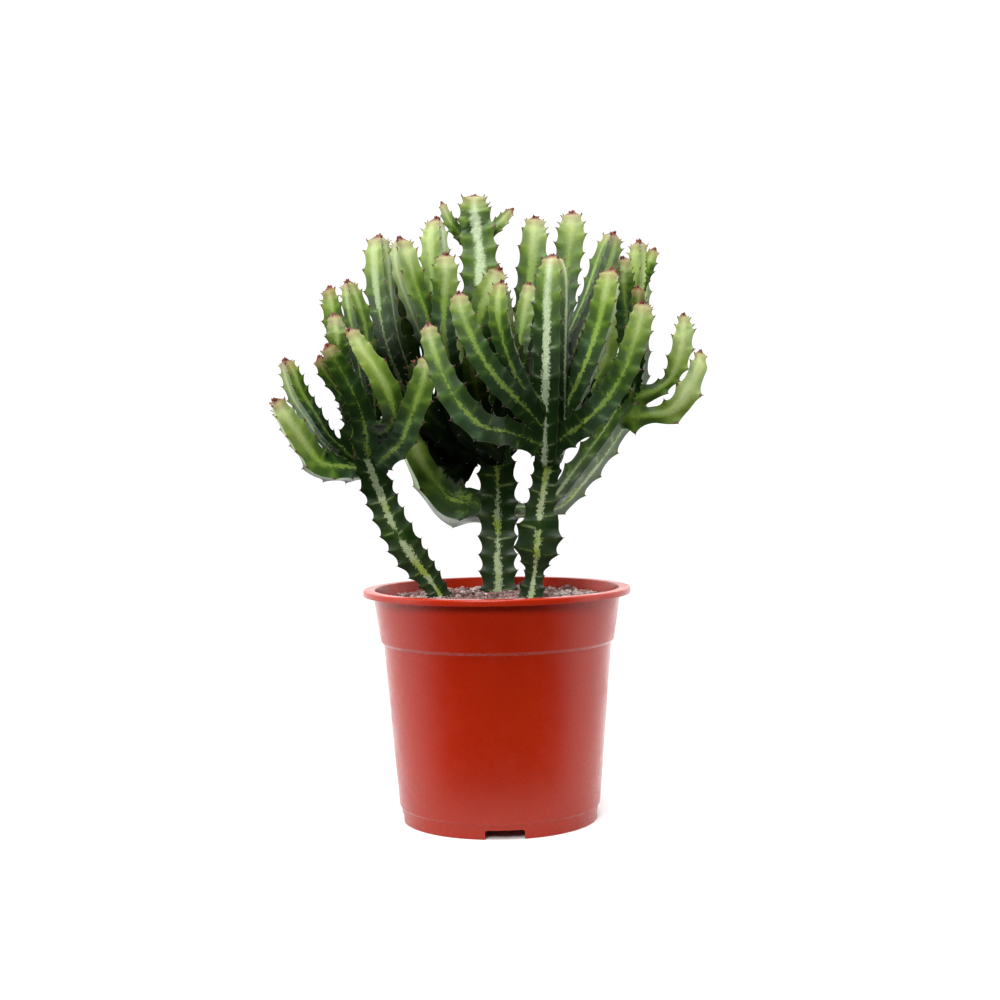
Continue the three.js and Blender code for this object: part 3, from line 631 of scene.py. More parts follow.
def leaflet(root, direction, across, length, width):
    """A small pointed scale leaf, thicker in the middle."""
    direction = unit(direction)
    across = unit(across - direction * (across @ direction))
    face = np.cross(direction, across)
    thick = width * 0.22
    middle = root + direction * length * 0.45
    points = np.array([
        root - across * width * 0.3, root + across * width * 0.3,
        middle - across * width * 0.5, middle + across * width * 0.5,
        middle + face * thick, middle - face * thick,
        root + face * thick * 0.8, root - face * thick * 0.8,
        root + direction * length])
    faces = [(0, 6, 4, 2), (6, 1, 3, 4), (1, 7, 5, 3), (7, 0, 2, 5),
             (2, 4, 8), (4, 3, 8), (3, 5, 8), (5, 2, 8), (0, 7, 1, 6)]
    return points, faces


# ---- one plant ------------------------------------------------------------------

def skins_of(shape):
    """The separate skins of a mesh, each a list of its vertices, the largest last."""
    unseen = set(shape.verts)
    skins = []
    while unseen:
        seed = unseen.pop()
        skin, front = [seed], [seed]
        while front:
            vertex = front.pop()
            for edge in vertex.link_edges:
                other = edge.other_vert(vertex)
                if other in unseen:
                    unseen.discard(other)
                    skin.append(other)
                    front.append(other)
        skins.append(skin)
    return sorted(skins, key=len)


def keep_outer_skin(mesh):
    """Deletes the closed pockets that are left inside where branches meet."""
    shape = bmesh.new()
    shape.from_mesh(mesh)
    for pocket in skins_of(shape)[:-1]:
        bmesh.ops.delete(shape, geom=pocket, context="VERTS")
    shape.to_mesh(mesh)
    shape.free()


def soften_seams(mesh, on_seam):
    """Relaxes the skin round the lines where branches were joined."""
    points = np.array([vertex.co for vertex in mesh.vertices])
    seam = tree_of(points[on_seam])
    away = np.array([seam.find(point)[2] for point in points]) / MM
    weight = 0.6 * np.exp(-(away / SEAM_REACH) ** 2)
    weight[away > 2.5 * SEAM_REACH] = 0
    edges = np.array([edge.vertices[:] for edge in mesh.edges])
    links = np.bincount(edges.ravel(), minlength=len(points))
    for _ in range(SEAM_PASSES):
        total = np.zeros_like(points)
        for axis in range(3):
            total[:, axis] = (np.bincount(edges[:, 0], points[edges[:, 1], axis], len(points))
                              + np.bincount(edges[:, 1], points[edges[:, 0], axis], len(points)))
        points += weight[:, None] * (total / links[:, None] - points)
    mesh.vertices.foreach_set("co", points.ravel())


def crowding(plants):
    """A function giving how closely branches crowd round points, which the skin uses for painted shade: 0
    outside, 1 deep inside.
    """
    points = np.vstack([branch.points for branches in plants.values() for branch in branches])
    low = points.min(0) - 4 * CROWD_CELL
    count = np.ceil((points.max(0) + 4 * CROWD_CELL - low) / CROWD_CELL).astype(int)
    grid, _ = np.histogramdd(points, bins=count, range=list(zip(low, low + count * CROWD_CELL)))
    for axis in range(3):
        for _ in range(3):
            grid = (np.roll(grid, 1, axis) + grid + np.roll(grid, -1, axis)) / 3
    full = np.percentile(grid[grid > grid.max() * 0.02], 92)

    def measure(places):
        index = np.clip(((places - low) / CROWD_CELL).astype(int), 0, count - 1)
        return np.clip(grid[tuple(index.T)] / full, 0, 1)
    return measure


def shade(branch):
    """How much shade is painted on a branch's points for lying deep in the crown: 0 outside, 1 inside."""
    if branch.name in INNER:
        return np.full(len(branch.points), float(INNER[branch.name]))
    limit = SHADED_BELOW.get(branch.name, 0)
    depth = np.clip((limit + SHADE_REACH - branch.points[:, 2]) / (2 * SHADE_REACH), 0, 1)
    return depth * depth * (3 - 2 * depth)


def bareness(branch):
    """How weak the pale band is at a branch's points: weakest where it leaves its parent."""
    if branch.is_stem:
        low, high = STEM_GAPS.get(branch.plant, (0, 1))
        away = np.abs(branch.points[:, 2] - (low + high) / 2) / (high - low)
        return np.clip(2 - 4 * away, 0, 1)
    if branch.name in FULL_BANDED:
        return np.zeros(len(branch.points))
    base = np.clip(1 - branch.values["along"] / BARE_REACH, 0, 1) ** 1.2
    return np.maximum(FAINT.get(branch.name, 0), base)


def make_branches(node, seed):
    return [Branch(node, name, data, random.Random(seed * 100 + index))
            for index, (name, data) in enumerate(PLANTS[node].items())]


def add_skin_values(mesh, node, branches, match, crowd, draw):
    """Carries what the skin's material reads from the branches over to their joined mesh."""
    def spread(measure):
        return np.concatenate([np.broadcast_to(measure(branch), (len(branch.points),))
                               for branch in branches])

    for key in branches[0].values:
        add_values(mesh, key, spread(lambda branch: branch.values[key])[match])
    kind = spread(lambda branch: draw.random())
    milk = spread(lambda branch: PALE.get(branch.name, 0.2 * draw.random()))
    if node == "plant_middle":            # the leader's top is the palest of all
        heights = branches[0].points[:, 2]
        low, over = LEADER_MILKY
        milk[:len(heights)] = PALE["stem"] + (1 - PALE["stem"]) * np.clip((heights - low) / over, 0, 1)
    shift = spread(lambda branch: AGED[node] - FRESH.get(branch.name, 0))
    crowded = spread(lambda branch: crowd(branch.points) * OPEN_AIR.get(branch.name, 1.0))
    values = {"kind": kind, "milk": milk, "faint": spread(bareness), "shift": shift,
              "inner": spread(shade), "crowd": crowded}
    for key, value in values.items():
        add_values(mesh, key, value[match])


def spines_of(branch, skin, draw):
    """A pair of spines at each tooth that is still on the plant's skin."""
    spines = []
    for point, outward, up, row in branch.spine_roots():
        if skin.find(point * MM + AXIS)[2] > 0.02 * MM:
            continue
        sideways = np.cross(up, outward)
        size = min(1.0, branch.radius[row] / 12)
        for hand in (-1, 1):
            lean = outward * 0.8 + up * draw.uniform(0.1, 0.6)
            lean = lean + sideways * hand * draw.uniform(0.4, 0.8)
            length = SPINE_LENGTH * size * draw.uniform(0.7, 1.25)
            spines.append(spike(point - outward * 0.5, lean, length + 0.5, SPINE_RADIUS))
    return spines


def tip_leaves(branch, draw):
    """A tuft of leaflets on a growing tip, and one on each of its ridges."""
    up, side, ahead = branch.tangent[-1], branch.side[-1], branch.ahead[-1]
    size = min(1.0, branch.radius[-1] / 8)
    leaves = []
    for index in range(TIP_LEAVES):
        turn = index * 2.4 + draw.random()
        out = ahead * math.cos(turn) + side * math.sin(turn)
        spread = draw.uniform(0.2, 2.2)
        root = branch.apex - up * (0.8 + 0.7 * spread) + out * spread * size
        lean = up + out * draw.uniform(0.1, 0.8)
        across = np.cross(up, out)
        leaves.append(leaflet(root, lean, across, draw.uniform(2.0, 3.1) * size, 1.9 * size))
    row = len(branch.s) - 1
    for column in range(0, branch.columns, len(ACROSS)):
        point, outward = branch.points[row * branch.columns + column], branch.direction[row, column]
        leaves.append(leaflet(point - outward * 0.8, outward * 0.7 + up, np.cross(up, outward),
                              2.6 * size, 1.8 * size))
    return leaves


def add_small_parts(node, kind, parts, material):
    """Adds a plant's small parts of one kind, as one piece."""
    points, faces = joined_arrays(parts)
    piece = new_object(f"{node}_{kind}", points, faces, material, smooth=False, inside=True)
    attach(piece, "root")


def build_plant(node, branches, seed, crowd, materials):
    """Joins a plant's branches into one skin, and sets its spines and leaflets on it."""
    draw = random.Random(seed)
    flesh, *others = [new_object(f"{node}_{branch.name}", branch.points, branch.faces, inside=True)
                      for branch in branches]
    combined(flesh, others, "UNION")
    flesh.name = node + "_flesh"
    mesh = flesh.data
    keep_outer_skin(mesh)
    tree = tree_of(np.vstack([branch.points for branch in branches]) * MM + AXIS)
    found = [tree.find(vertex.co) for vertex in mesh.vertices]
    soften_seams(mesh, np.array([hit[2] for hit in found]) > 0.01 * MM)
    add_skin_values(mesh, node, branches, np.array([hit[1] for hit in found]), crowd, draw)
    dress_surface(mesh, materials["flesh"], PLANT_SHARP)

    skin = tree_of([vertex.co for vertex in mesh.vertices])
    spines, leaves = [], []
    for branch in branches:
        spines += spines_of(branch, skin, draw)
        if not branch.buried:
            leaves += tip_leaves(branch, draw)
    add_small_parts(node, "spines", spines, materials["spine"])
    add_small_parts(node, "leaflets", leaves, materials["leaf"])
    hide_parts(node)
    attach(flesh, "root")


# ---- materials ------------------------------------------------------------------

SKIN_VALUES = ("across", "from_tip", "along", "count", "kind", "milk", "tooth", "crowd", "hand",
               "faint", "inner", "shift")
BLOTCH, PATCH, SPECK, BROAD, FLECK = 95, 38, 900, 22, 420     # the skin's mottling, per metre


def skin_values(g):
    """What the skin's colours depend on: the mesh's values, mottling, and age with painted shade from
    crowding added in.
    """
    v = SimpleNamespace(**{name: g.attribute(name) for name in SKIN_VALUES})
    v.blotch = g.noise(g.place, BLOTCH, 4, 0.6)
    v.patch = g.noise(g.place, PATCH, 2, 0.5)
    v.speck = g.noise(g.place, SPECK, 3, 0.6)
    v.broad = g.noise(g.place, BROAD, 2, 0.5)
    v.fleck = g.noise(g.place, FLECK, 3).smooth(0.3, 0.7, -0.5, 0.5)
    # painted shade: crowded skin is counted older, so it darkens
    v.raw_age = ((v.patch - 0.5) * 0.4 + g.attribute("age") + v.crowd.smooth(0.3, 1.0) * 0.35
                 + (v.kind - 0.5) * 0.16 + v.shift)
    v.age = v.raw_age.smooth(0.05, 0.9)
    return v


def green_skin(g, v):
    """From yellow-green growth to dark, blue-bloomed old skin, with blotches."""
    skin = g.ramp(v.raw_age, [
        (0.0, srgb(160, 176, 112)), (0.15, srgb(128, 148, 66)), (0.38, srgb(88, 116, 32)),
        (0.7, srgb(54, 82, 26)), (1.0, srgb(32, 52, 20))])
    bloom = v.broad.smooth(0.46, 0.64, 0, 0.34) * v.age.smooth(0.4, 0.9) * v.milk.smooth(0.55, 0.3)
    skin = g.mix(bloom, skin, srgb(88, 112, 92))
    skin = g.mix(v.blotch.smooth(0.5, 0.66, 0, 0.45), skin, (1.4, 1.3, 1.1, 1), "MULTIPLY")
    skin = g.mix(v.blotch.smooth(0.5, 0.36, 0, 0.6), skin, (0.56, 0.68, 0.55, 1), "MULTIPLY")
    return g.mix(v.across.smooth(0.3, 0.8, 0, 0.55), skin, (0.62, 0.74, 0.56, 1), "MULTIPLY")


def pale_band(g, v):
    """How strong the pale band is: wide and soft on young growth, narrow and feathered on old."""
    feather_at = g.add("CombineXYZ", (v.along * 0.6, v.across * 3.0, v.hand * 4.0 + v.kind * 53))
    feather = g.noise(feather_at, 1, 3, 0.65).smooth(0.3, 0.72, -0.5, 0.5)
    width = v.age.smooth(0, 1, 0.22, 0.13) + v.milk * 0.05
    width = width * v.broad.smooth(0.36, 0.6, 0.45, 1.3) - v.faint * 0.16
    edge = width + feather * v.age.smooth(0, 1, 0.08, 0.2) + v.fleck * v.age.smooth(0, 1, 0.05, 0.14)
    band = ((edge - v.across) / v.age.smooth(0, 0.9, 0.26, 0.05)).smooth(-1, 1)
    strength = v.milk * 0.3 + v.age.smooth(0, 0.6, 0.45, 0.62)
    return band * strength * v.faint.smooth(0.5, 1.0, 1, 0.15)


def vein_lines(v, wave):
    """How strong the thin lines are that run from each tooth in to the band on old growth."""
    return (wave.smooth(0.4, 0.49) * v.age.smooth(0.3, 0.9, 0.03, 0.34)
            * v.milk.smooth(0.1, 0.5, 0.55, 1.0) * v.blotch.smooth(0.44, 0.6, 0.05, 1)
            * v.across.smooth(1.0, 0.35, 0.05, 1))


def pale_colour(g, v):
    """The band's colour: yellow-green on branches, paler on stems, milky on the leader."""
    branch = g.mix(v.age.smooth(0.0, 0.5), srgb(186, 200, 142), srgb(138, 164, 72))
    stem = g.mix(v.patch.smooth(0.5, 0.6), srgb(180, 196, 152), srgb(160, 182, 84))
    milky = g.mix(v.milk.smooth(0.65, 0.95), stem, srgb(188, 204, 166))
    pale = g.mix(v.milk.smooth(0.2, 0.55), branch, milky)
    return g.mix(v.speck.smooth(0.5, 0.64, 0, 0.4), pale, srgb(84, 114, 52))


def edges_and_tips(g, v, skin):
    """Pale margins that are partly a painted highlight, dark teeth and red-brown tips; painted shade
    turns skin deep in the crown nearly black.
    """
    # outer is 1 outside the painted shade; the margin, wash and tip colours show only there
    outer = 1.0 - v.inner
    # pale ridge margin: partly the skin's own pale edge, partly a painted highlight along the ridges
    pale_margin_and_highlight = v.across.smooth(0.95, 1.0) * v.age.smooth(0, 1, 0.26, 0.14)
    skin = g.mix(pale_margin_and_highlight * outer, skin, srgb(150, 158, 116))
    skin = g.mix(v.tooth.smooth(0.42, 0.75, 0, 0.92), skin,
                 g.mix(v.age, srgb(92, 44, 36), srgb(30, 22, 16)))
    wash = (v.blotch - 0.5) * 8 + v.from_tip
    skin = g.mix(wash.smooth(8, 0, 0, 0.55) * outer, skin, srgb(146, 124, 88))
    reddish = (v.blotch - 0.5) * 3 + v.from_tip
    skin = g.mix(reddish.smooth(0.6, -2.0, 0, 0.85) * outer, skin, srgb(110, 54, 44))
    skin = g.mix(v.from_tip.smooth(-1.6, -3.2, 0, 0.95) * outer, skin, srgb(86, 30, 28))
    # painted shade: skin deep in the crown is painted nearly black
    return g.mix(v.inner * 0.92, skin, srgb(5, 12, 3))


def flesh_material():
    """Waxy green skin: a feathered pale band down each face, pale lines to the teeth on
    old growth, and red-brown growing tips."""
    g = Graph("euphorbia_skin")
    v = skin_values(g)
    wave = abs(v.count.fraction() - 0.5) + (v.speck - 0.5) * 0.08      # most at each tooth
    cell = wave.smooth(0.46, 0.22) * v.across.smooth(0.18, 0.42) * v.age.smooth(0.1, 0.6, 0.16, 0.6)
    skin = g.mix(cell, green_skin(g, v), srgb(20, 40, 16))
    skin = g.mix(pale_band(g, v).most(vein_lines(v, wave)), skin, pale_colour(g, v))
    fresh = (v.patch.smooth(0.54, 0.62) * v.across.smooth(0.8, 0.4)
             * v.faint.smooth(0.38, 0.46, 0, 0.5) * v.milk.smooth(0.58, 0.52))
    skin = g.mix(fresh * v.fleck.smooth(-0.3, 0.2), skin, srgb(142, 172, 64))
    # painted shade: skin is darkened where branches crowd
    skin = g.mix(v.crowd.smooth(0.6, 1.0, 0, 0.5), skin, srgb(12, 24, 8))
    skin = edges_and_tips(g, v, skin)
    g.bump(v.blotch * 0.6 + v.speck * 0.25, 0.35, 0.0006)
    # the sheen is turned down in the painted shade of the crown and of crowding, and where the band is
    # faint
    dull = v.inner.most(v.crowd.smooth(0.5, 1.0, 0, 0.85)).most(v.faint.smooth(0.5, 0.9, 0, 0.8))
    g.put(g.shader.inputs["Specular IOR Level"], dull.smooth(0, 1, 0.46, 0.01))
    return g.finish(skin, v.blotch.smooth(0.3, 0.75, 0.36, 0.54), ior=1.38)


def spine_material():
    g = Graph("spines")
    grain = g.noise(g.place, 600)
    g.bump(grain, 0.3, 0.0002)
    return g.finish(g.mix(grain, srgb(38, 28, 24), srgb(96, 74, 58)), grain.smooth(0.2, 0.8, 0.5, 0.7))


def leaf_material():
    g = Graph("leaflets")
    grain, blush = g.noise(g.place, 500), g.noise(g.place, 160, 2)
    colour = g.mix(blush.smooth(0.35, 0.65), srgb(92, 30, 28), srgb(138, 70, 56))
    colour = g.mix(grain.smooth(0.5, 0.8, 0, 0.5), colour, srgb(116, 120, 60))
    g.bump(grain, 0.3, 0.0003)
    return g.finish(colour, grain.smooth(0.2, 0.8, 0.42, 0.6))


def pot_material():
    """Moulded terracotta-red plastic: faint mottling, painted shade that darkens the foot, and light
    scratches.
    """
    g = Graph("pot_plastic")
    cloud, dust = g.noise(g.place, 9, 4, 0.55), g.noise(g.place, 60, 5, 0.65)
    scratch = g.noise(g.stretched((60, 60, 900)), 1, 3, 0.7)
    height = g.add("SeparateXYZ", (g.place,), "Z")
    colour = g.mix(cloud.smooth(0.3, 0.7), srgb(156, 30, 4), srgb(164, 36, 6))
    # painted shade: the wall is darkened towards the foot
    colour = g.mix(height.smooth(0.075, 0.0, 0, 0.5), colour, srgb(112, 22, 0))
    colour = g.mix(dust.smooth(0.58, 0.8, 0, 0.05), colour, srgb(196, 104, 82))
    colour = g.mix(scratch.smooth(0.7, 0.8, 0, 0.15), colour, srgb(200, 96, 70))
    g.bump(g.noise(g.place, 1400, 2) * 0.2 + cloud * 0.8, 0.12, 0.0006)
    roughness = dust.smooth(0.35, 0.75, 0.24, 0.36) + scratch.smooth(0.62, 0.8, 0, 0.12)
    return g.finish(colour, roughness, ior=1.35)


def mix_material():
    g = Graph("potting_mix")
    crumb = g.noise(g.place, 450, 5, 0.7)
    colour = g.ramp(crumb, [(0.3, srgb(26, 18, 14)), (0.55, srgb(66, 46, 36)), (0.75, srgb(110, 84, 66))])
    g.bump(crumb, 0.9, 0.0015)
    return g.finish(colour, crumb.smooth(0.3, 0.7, 0.85, 1.0))


def lava_material():
    """Pitted lava and pumice, with painted shade in the pits; the value 'tone' says which of the colours
    a grain has.
    """
    g = Graph("lava")
    pits = g.add("TexVoronoi", {"Vector": g.place, "Scale": 1500}, "Distance")
    grain = g.noise(g.place, 1100, 4, 0.7)
    colour = g.ramp(g.attribute("tone"), [
        (0.0, srgb(58, 28, 28)), (0.2, srgb(112, 56, 52)), (0.4, srgb(140, 100, 96)),
        (0.6, srgb(172, 150, 146)), (0.8, srgb(206, 194, 190)), (1.0, srgb(120, 112, 112))])
    colour = g.mix(grain.smooth(0.4, 0.7, 0, 0.5), colour, srgb(194, 176, 168))
    # painted shade: the pits are darkened
    colour = g.mix(pits.smooth(0.34, 0.12, 0, 0.8), colour, srgb(34, 22, 22))
    g.bump(pits * 0.8 + grain * 0.6, 0.9, 0.0006)
    return g.finish(colour, grain.smooth(0.2, 0.8, 0.8, 1.0))


# ---- pot ------------------------------------------------------------------------

RIM_RADIUS, POT_HEIGHT, RIM_DEPTH, FLANGE, WALL = 95, 164.6, 4.2, 2.6, 1.3
MOUTH_RADIUS, STEP_RADIUS, STEP_Z, STEP_HEIGHT, STEP_WIDTH = 87, 81.7, 128, 2, 2.2
FOOT_HEIGHT, FOOT_RADIUS, FOOT_FLARE, FOOT_INSET, FOOT_WALL = 10, 69.3, 1, 1.4, 2.2
FLOOR_Z, FLOOR_THICKNESS = 8.9, 1.5
NOTCHES, NOTCH_WIDTH, NOTCH_HEIGHT, NOTCH_CHAMFER, NOTCH_DEPTH = 4, 27, 6.5, 1.2, 12
NOTCH_TURN = 2.7                # degrees that the first notch is turned from the front
DRAIN_RADIUS, DRAIN_RING = 4, 52
POT_SEGMENTS, DRAIN_SEGMENTS = 256, 40


def inner_radius(z):
    if z >= STEP_Z:
        return STEP_RADIUS + (MOUTH_RADIUS - STEP_RADIUS) * (z - STEP_Z) / (POT_HEIGHT - STEP_Z)
    low, high = FOOT_RADIUS + FOOT_FLARE, STEP_RADIUS - STEP_WIDTH
    return low + (high - low) * (z - FOOT_HEIGHT) / (STEP_Z - STEP_HEIGHT - FOOT_HEIGHT)


def filleted(corners, steps=4):
    """A profile with each corner (r, z, fillet) rounded off."""
    profile = []
    for index, (r, z, fillet) in enumerate(corners):
        here = np.array([r, z], float)
        if not fillet or index in (0, len(corners) - 1):
            profile.append(here)
            continue
        before = np.array(corners[index - 1][:2]) - here
        after = np.array(corners[index + 1][:2]) - here
        start = here + before / np.linalg.norm(before) * min(fillet, np.linalg.norm(before) * 0.45)
        end = here + after / np.linalg.norm(after) * min(fillet, np.linalg.norm(after) * 0.45)
        for step in range(steps + 1):
            t = step / steps
            profile.append((1 - t) ** 2 * start + 2 * t * (1 - t) * here + t ** 2 * end)
    return np.array(profile)


def lathed(profile, segments):
    """A closed solid of revolution; the profile starts and ends on the axis."""
    turn = np.arange(segments) * 2 * math.pi / segments
    body = profile[1:-1]
    rings = np.stack([body[:, 0, None] * np.cos(turn), body[:, 0, None] * np.sin(turn),
                      np.repeat(body[:, 1, None], segments, 1)], -1).reshape(-1, 3)
    first, last = len(rings), len(rings) + 1
    points = np.vstack([rings, [[0, 0, profile[0, 1]]], [[0, 0, profile[-1, 1]]]])
    faces = []
    for column in range(segments):
        following = (column + 1) % segments
        faces.append((following, column, first))
        top = (len(body) - 1) * segments
        faces.append((top + column, top + following, last))
        for row in range(len(body) - 1):
            a, b = row * segments + column, row * segments + following
            faces.append((a, b, b + segments, a + segments))
    return points, faces


def pot_profile():
    under_rim, under_step = POT_HEIGHT - FLANGE, STEP_Z - STEP_HEIGHT
    floor_top, foot_inside = FLOOR_Z + FLOOR_THICKNESS, FOOT_RADIUS - FOOT_WALL
    return filleted([
        (0, FLOOR_Z, 0), (foot_inside, FLOOR_Z, 0.8), (foot_inside, 0, 0.5), (FOOT_RADIUS, 0, 0.5),
        (FOOT_RADIUS + FOOT_FLARE, FOOT_HEIGHT, 0.4),
        (inner_radius(FOOT_HEIGHT) + WALL, FOOT_HEIGHT + FOOT_INSET, 0.5),
        (inner_radius(under_step) + WALL, under_step, 0.5),
        (inner_radius(STEP_Z) + WALL, STEP_Z, 0.6),
        (inner_radius(under_rim) + WALL, under_rim, 1.2),
        (RIM_RADIUS - WALL, under_rim, 0.7), (RIM_RADIUS - WALL, POT_HEIGHT - RIM_DEPTH, 0.4),
        (RIM_RADIUS, POT_HEIGHT - RIM_DEPTH, 0.5), (RIM_RADIUS, POT_HEIGHT, 1.3),
        (MOUTH_RADIUS, POT_HEIGHT, 1.0), (inner_radius(STEP_Z), STEP_Z, 0.6),
        (inner_radius(under_step), under_step, 0.6), (inner_radius(floor_top), floor_top, 1.2),
        (0, floor_top, 0)])


def notch_angle(index):
    """The angle of a foot notch, and of the drain hole that is in line with it."""
    return math.radians(-90 + NOTCH_TURN + index * 360 / NOTCHES)


def notch_cutter(index):
    """A block with a chamfered roof, set across the foot band."""
    turn = notch_angle(index)
    half, slope = NOTCH_WIDTH / 2, NOTCH_CHAMFER
    outline = [(-half, -2), (half, -2), (half, NOTCH_HEIGHT - slope), (half - slope, NOTCH_HEIGHT),
               (-half + slope, NOTCH_HEIGHT), (-half, NOTCH_HEIGHT - slope)]
    points = []
    for r in (FOOT_RADIUS - NOTCH_DEPTH / 2, FOOT_RADIUS + NOTCH_DEPTH / 2):
        for y, z in outline:
            points.append((r * math.cos(turn) - y * math.sin(turn),
                           r * math.sin(turn) + y * math.cos(turn), z))
    n = len(outline)
    faces = [tuple(reversed(range(n))), tuple(range(n, 2 * n))]
    faces += ring_faces(0, n, n)
    return new_object(f"notch_{index}", points, faces)


def drain_cutter(index):
    """A short rod through the floor."""
    turn = notch_angle(index)
    low, high = FLOOR_Z - 3, FLOOR_Z + 4
    profile = np.array([(0, low), (DRAIN_RADIUS, low), (DRAIN_RADIUS, high), (0, high)])
    points, faces = lathed(profile, DRAIN_SEGMENTS)
    points = points + np.array([DRAIN_RING * math.cos(turn), DRAIN_RING * math.sin(turn), 0])
    return new_object(f"drain_{index}", points, faces)


def build_pot(material):
    pot = new_object("moulded_pot", *lathed(pot_profile(), POT_SEGMENTS))
    cutters = [notch_cutter(index) for index in range(NOTCHES)]
    cutters += [drain_cutter(index) for index in range(NOTCHES)]
    combined(pot, cutters, "DIFFERENCE")
    dress_surface(pot.data, material, POT_SHARP)
    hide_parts("pot")
    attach(pot, "root")


# ---- potting mix and grit -------------------------------------------------------

BED_FLOOR, BED_TOP, BED_GAP = 10.8, 153.6, 0.6      # the potting mix, and its gap to the pot
BED_SEGMENTS = 128
GRIT_TOP, GRIT_DEPTH = 156.6, 2.6       # the grit's mean top, and how far below it grains lie
GRIT_REACH = 85.5                       # from the pot's axis
GRIT_COUNT = 2500
GRIT_SHAPES = 12
GRIT_SIZE, LARGE_SIZE, SMALL_SHARE = (1.1, 2.5), (2.7, 3.3), 0.85
GRIT_STRETCH = ((0.85, 1.2), (0.75, 1.05), (0.6, 0.9))
TONE_SPREAD = 0.26


def ball(levels):
    """Points and triangles of a unit icosphere."""
    shape = bmesh.new()
    bmesh.ops.create_icosphere(shape, subdivisions=levels, radius=1)
    points = np.array([vertex.co[:] for vertex in shape.verts])
    faces = [tuple(vertex.index for vertex in face.verts) for face in shape.faces]
    shape.free()
    return points, faces


def rough_ball(levels, seed, scale, depth):
    """Points and faces of a unit ball with pushed and chipped sides."""
    points, faces = ball(levels)
    shift = Vector((seed * 7.3, seed * 1.7, seed * 3.1))
    push = np.array([noise.fractal(Vector(point) * scale + shift, 0.9, 2.1, 3) for point in points])
    chip = np.array([noise.cell(Vector(point) * scale * 0.9 + shift) for point in points])
    return points * (1 + depth * push + depth * 0.3 * (chip - 0.5))[:, None], faces


def stem_reach(node, x, y):
    """How far outside a stem's skin a point of the bed is, in millimetres."""
    turn, *path = PLANTS[node]["stem"]
    stem_x, stem_y, _, radius = path[2]         # just above the grit
    right, back = x - stem_x, y - stem_y
    angle = math.atan2(right, -back) - math.radians(turn)
    share = ((angle / (2 * math.pi / 3)) % 1) * 2 - 1
    reach = radius * (VALLEY[3] + (1 - VALLEY[3]) * abs(share) ** FACE_POWER)
    return math.hypot(right, back) - reach


def bed_height(x, y):
    """The grit's gently uneven top, highest round the stems."""
    swell = noise.noise(Vector((x / 24, y / 24, 0.3)))
    return GRIT_TOP + 1.3 * swell + 0.8 * math.exp(-(x * x + (y - 20) ** 2) / 3000)


def build_bed(material):
    under_step, over_step = STEP_Z - STEP_HEIGHT, STEP_Z + 0.5
    corners = [(BED_FLOOR, 1.5), (under_step, 0.5), (over_step, 0.5), (BED_TOP, 0.8)]
    side = [(inner_radius(z) - BED_GAP, z, fillet) for z, fillet in corners]
    profile = filleted([(0, BED_FLOOR, 0), *side, (0, BED_TOP, 0)])
    bed = new_object("mix_bed", *lathed(profile, BED_SEGMENTS), material)
    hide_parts("potting_mix")
    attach(bed, "root")


def random_grain(shapes, draw):
    """Points, faces and tone of a grain, or None where the pot or a stem is in its way."""
    reach = GRIT_REACH * math.sqrt(draw.random())
    turn = draw.uniform(0, 2 * math.pi)
    x, y = reach * math.cos(turn), reach * math.sin(turn)
    size = draw.uniform(*(GRIT_SIZE if draw.random() < SMALL_SHARE else LARGE_SIZE))
    if reach > GRIT_REACH - size or min(stem_reach(node, x, y) for node in PLANTS) < size * 0.55:
        return None
    points, faces = shapes[draw.randrange(len(shapes))]
    spin = Matrix.Rotation(draw.uniform(0, 6.3), 3, "Z")
    spin = spin @ Matrix.Rotation(draw.uniform(0, 6.3), 3, "X")
    stretch = np.array([draw.uniform(*limits) for limits in GRIT_STRETCH])
    turned = (points * stretch) @ np.array(spin).T
    z = bed_height(x, y) - draw.uniform(0, GRIT_DEPTH)
    lean = 0.46 + 0.12 * x / GRIT_REACH - 0.3 * math.exp(-((x + 8) / 30) ** 2)
    tone = min(1, max(0, draw.gauss(lean, TONE_SPREAD)))
    return turned * size + np.array([x, y, z]), faces, tone


def build_grit(material):
    """Loose grains of many tones over the whole bed, darkest a little left of the middle."""
    draw = random.Random(11)
    shapes = [rough_ball(2, seed, scale=1.1, depth=0.46) for seed in range(GRIT_SHAPES)]
    for part in range(2):
        parts, tones = [], []
        while len(parts) < GRIT_COUNT // 2:
            grain = random_grain(shapes, draw)
            if grain:
                points, faces, tone = grain
                parts.append((points, faces))
                tones.append(np.full(len(points), tone))
        piece = new_object(f"grit_{part + 1}", *joined_arrays(parts), material)
        add_values(piece.data, "tone", np.concatenate(tones))
        piece.data.set_sharp_from_angle(angle=math.radians(GRIT_SHARP))
        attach(piece, "root")


def build_stones(material):
    """Each CAD stone again as a pitted lump that fills the same box."""
    names = sorted(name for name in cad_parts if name.startswith("lava_stone_"))
    for index, name in enumerate(names):
        low, high = (np.array(corner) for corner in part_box(name))
        points, faces = rough_ball(4, index + 40, scale=1.5, depth=0.3)
        shape_low, shape_high = points.min(0), points.max(0)
        points = (points - shape_low) / (shape_high - shape_low) * (high - low) + low
        stone = new_object(name + "_rough", (points - AXIS) / MM, faces, material)
        add_values(stone.data, "tone", np.full(len(points), (0.05 + 0.37 * index) % 0.7))
        stone.data.set_sharp_from_angle(angle=math.radians(STONE_SHARP))
        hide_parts(name)
        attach(stone, "root")


# ---- studio ---------------------------------------------------------------------

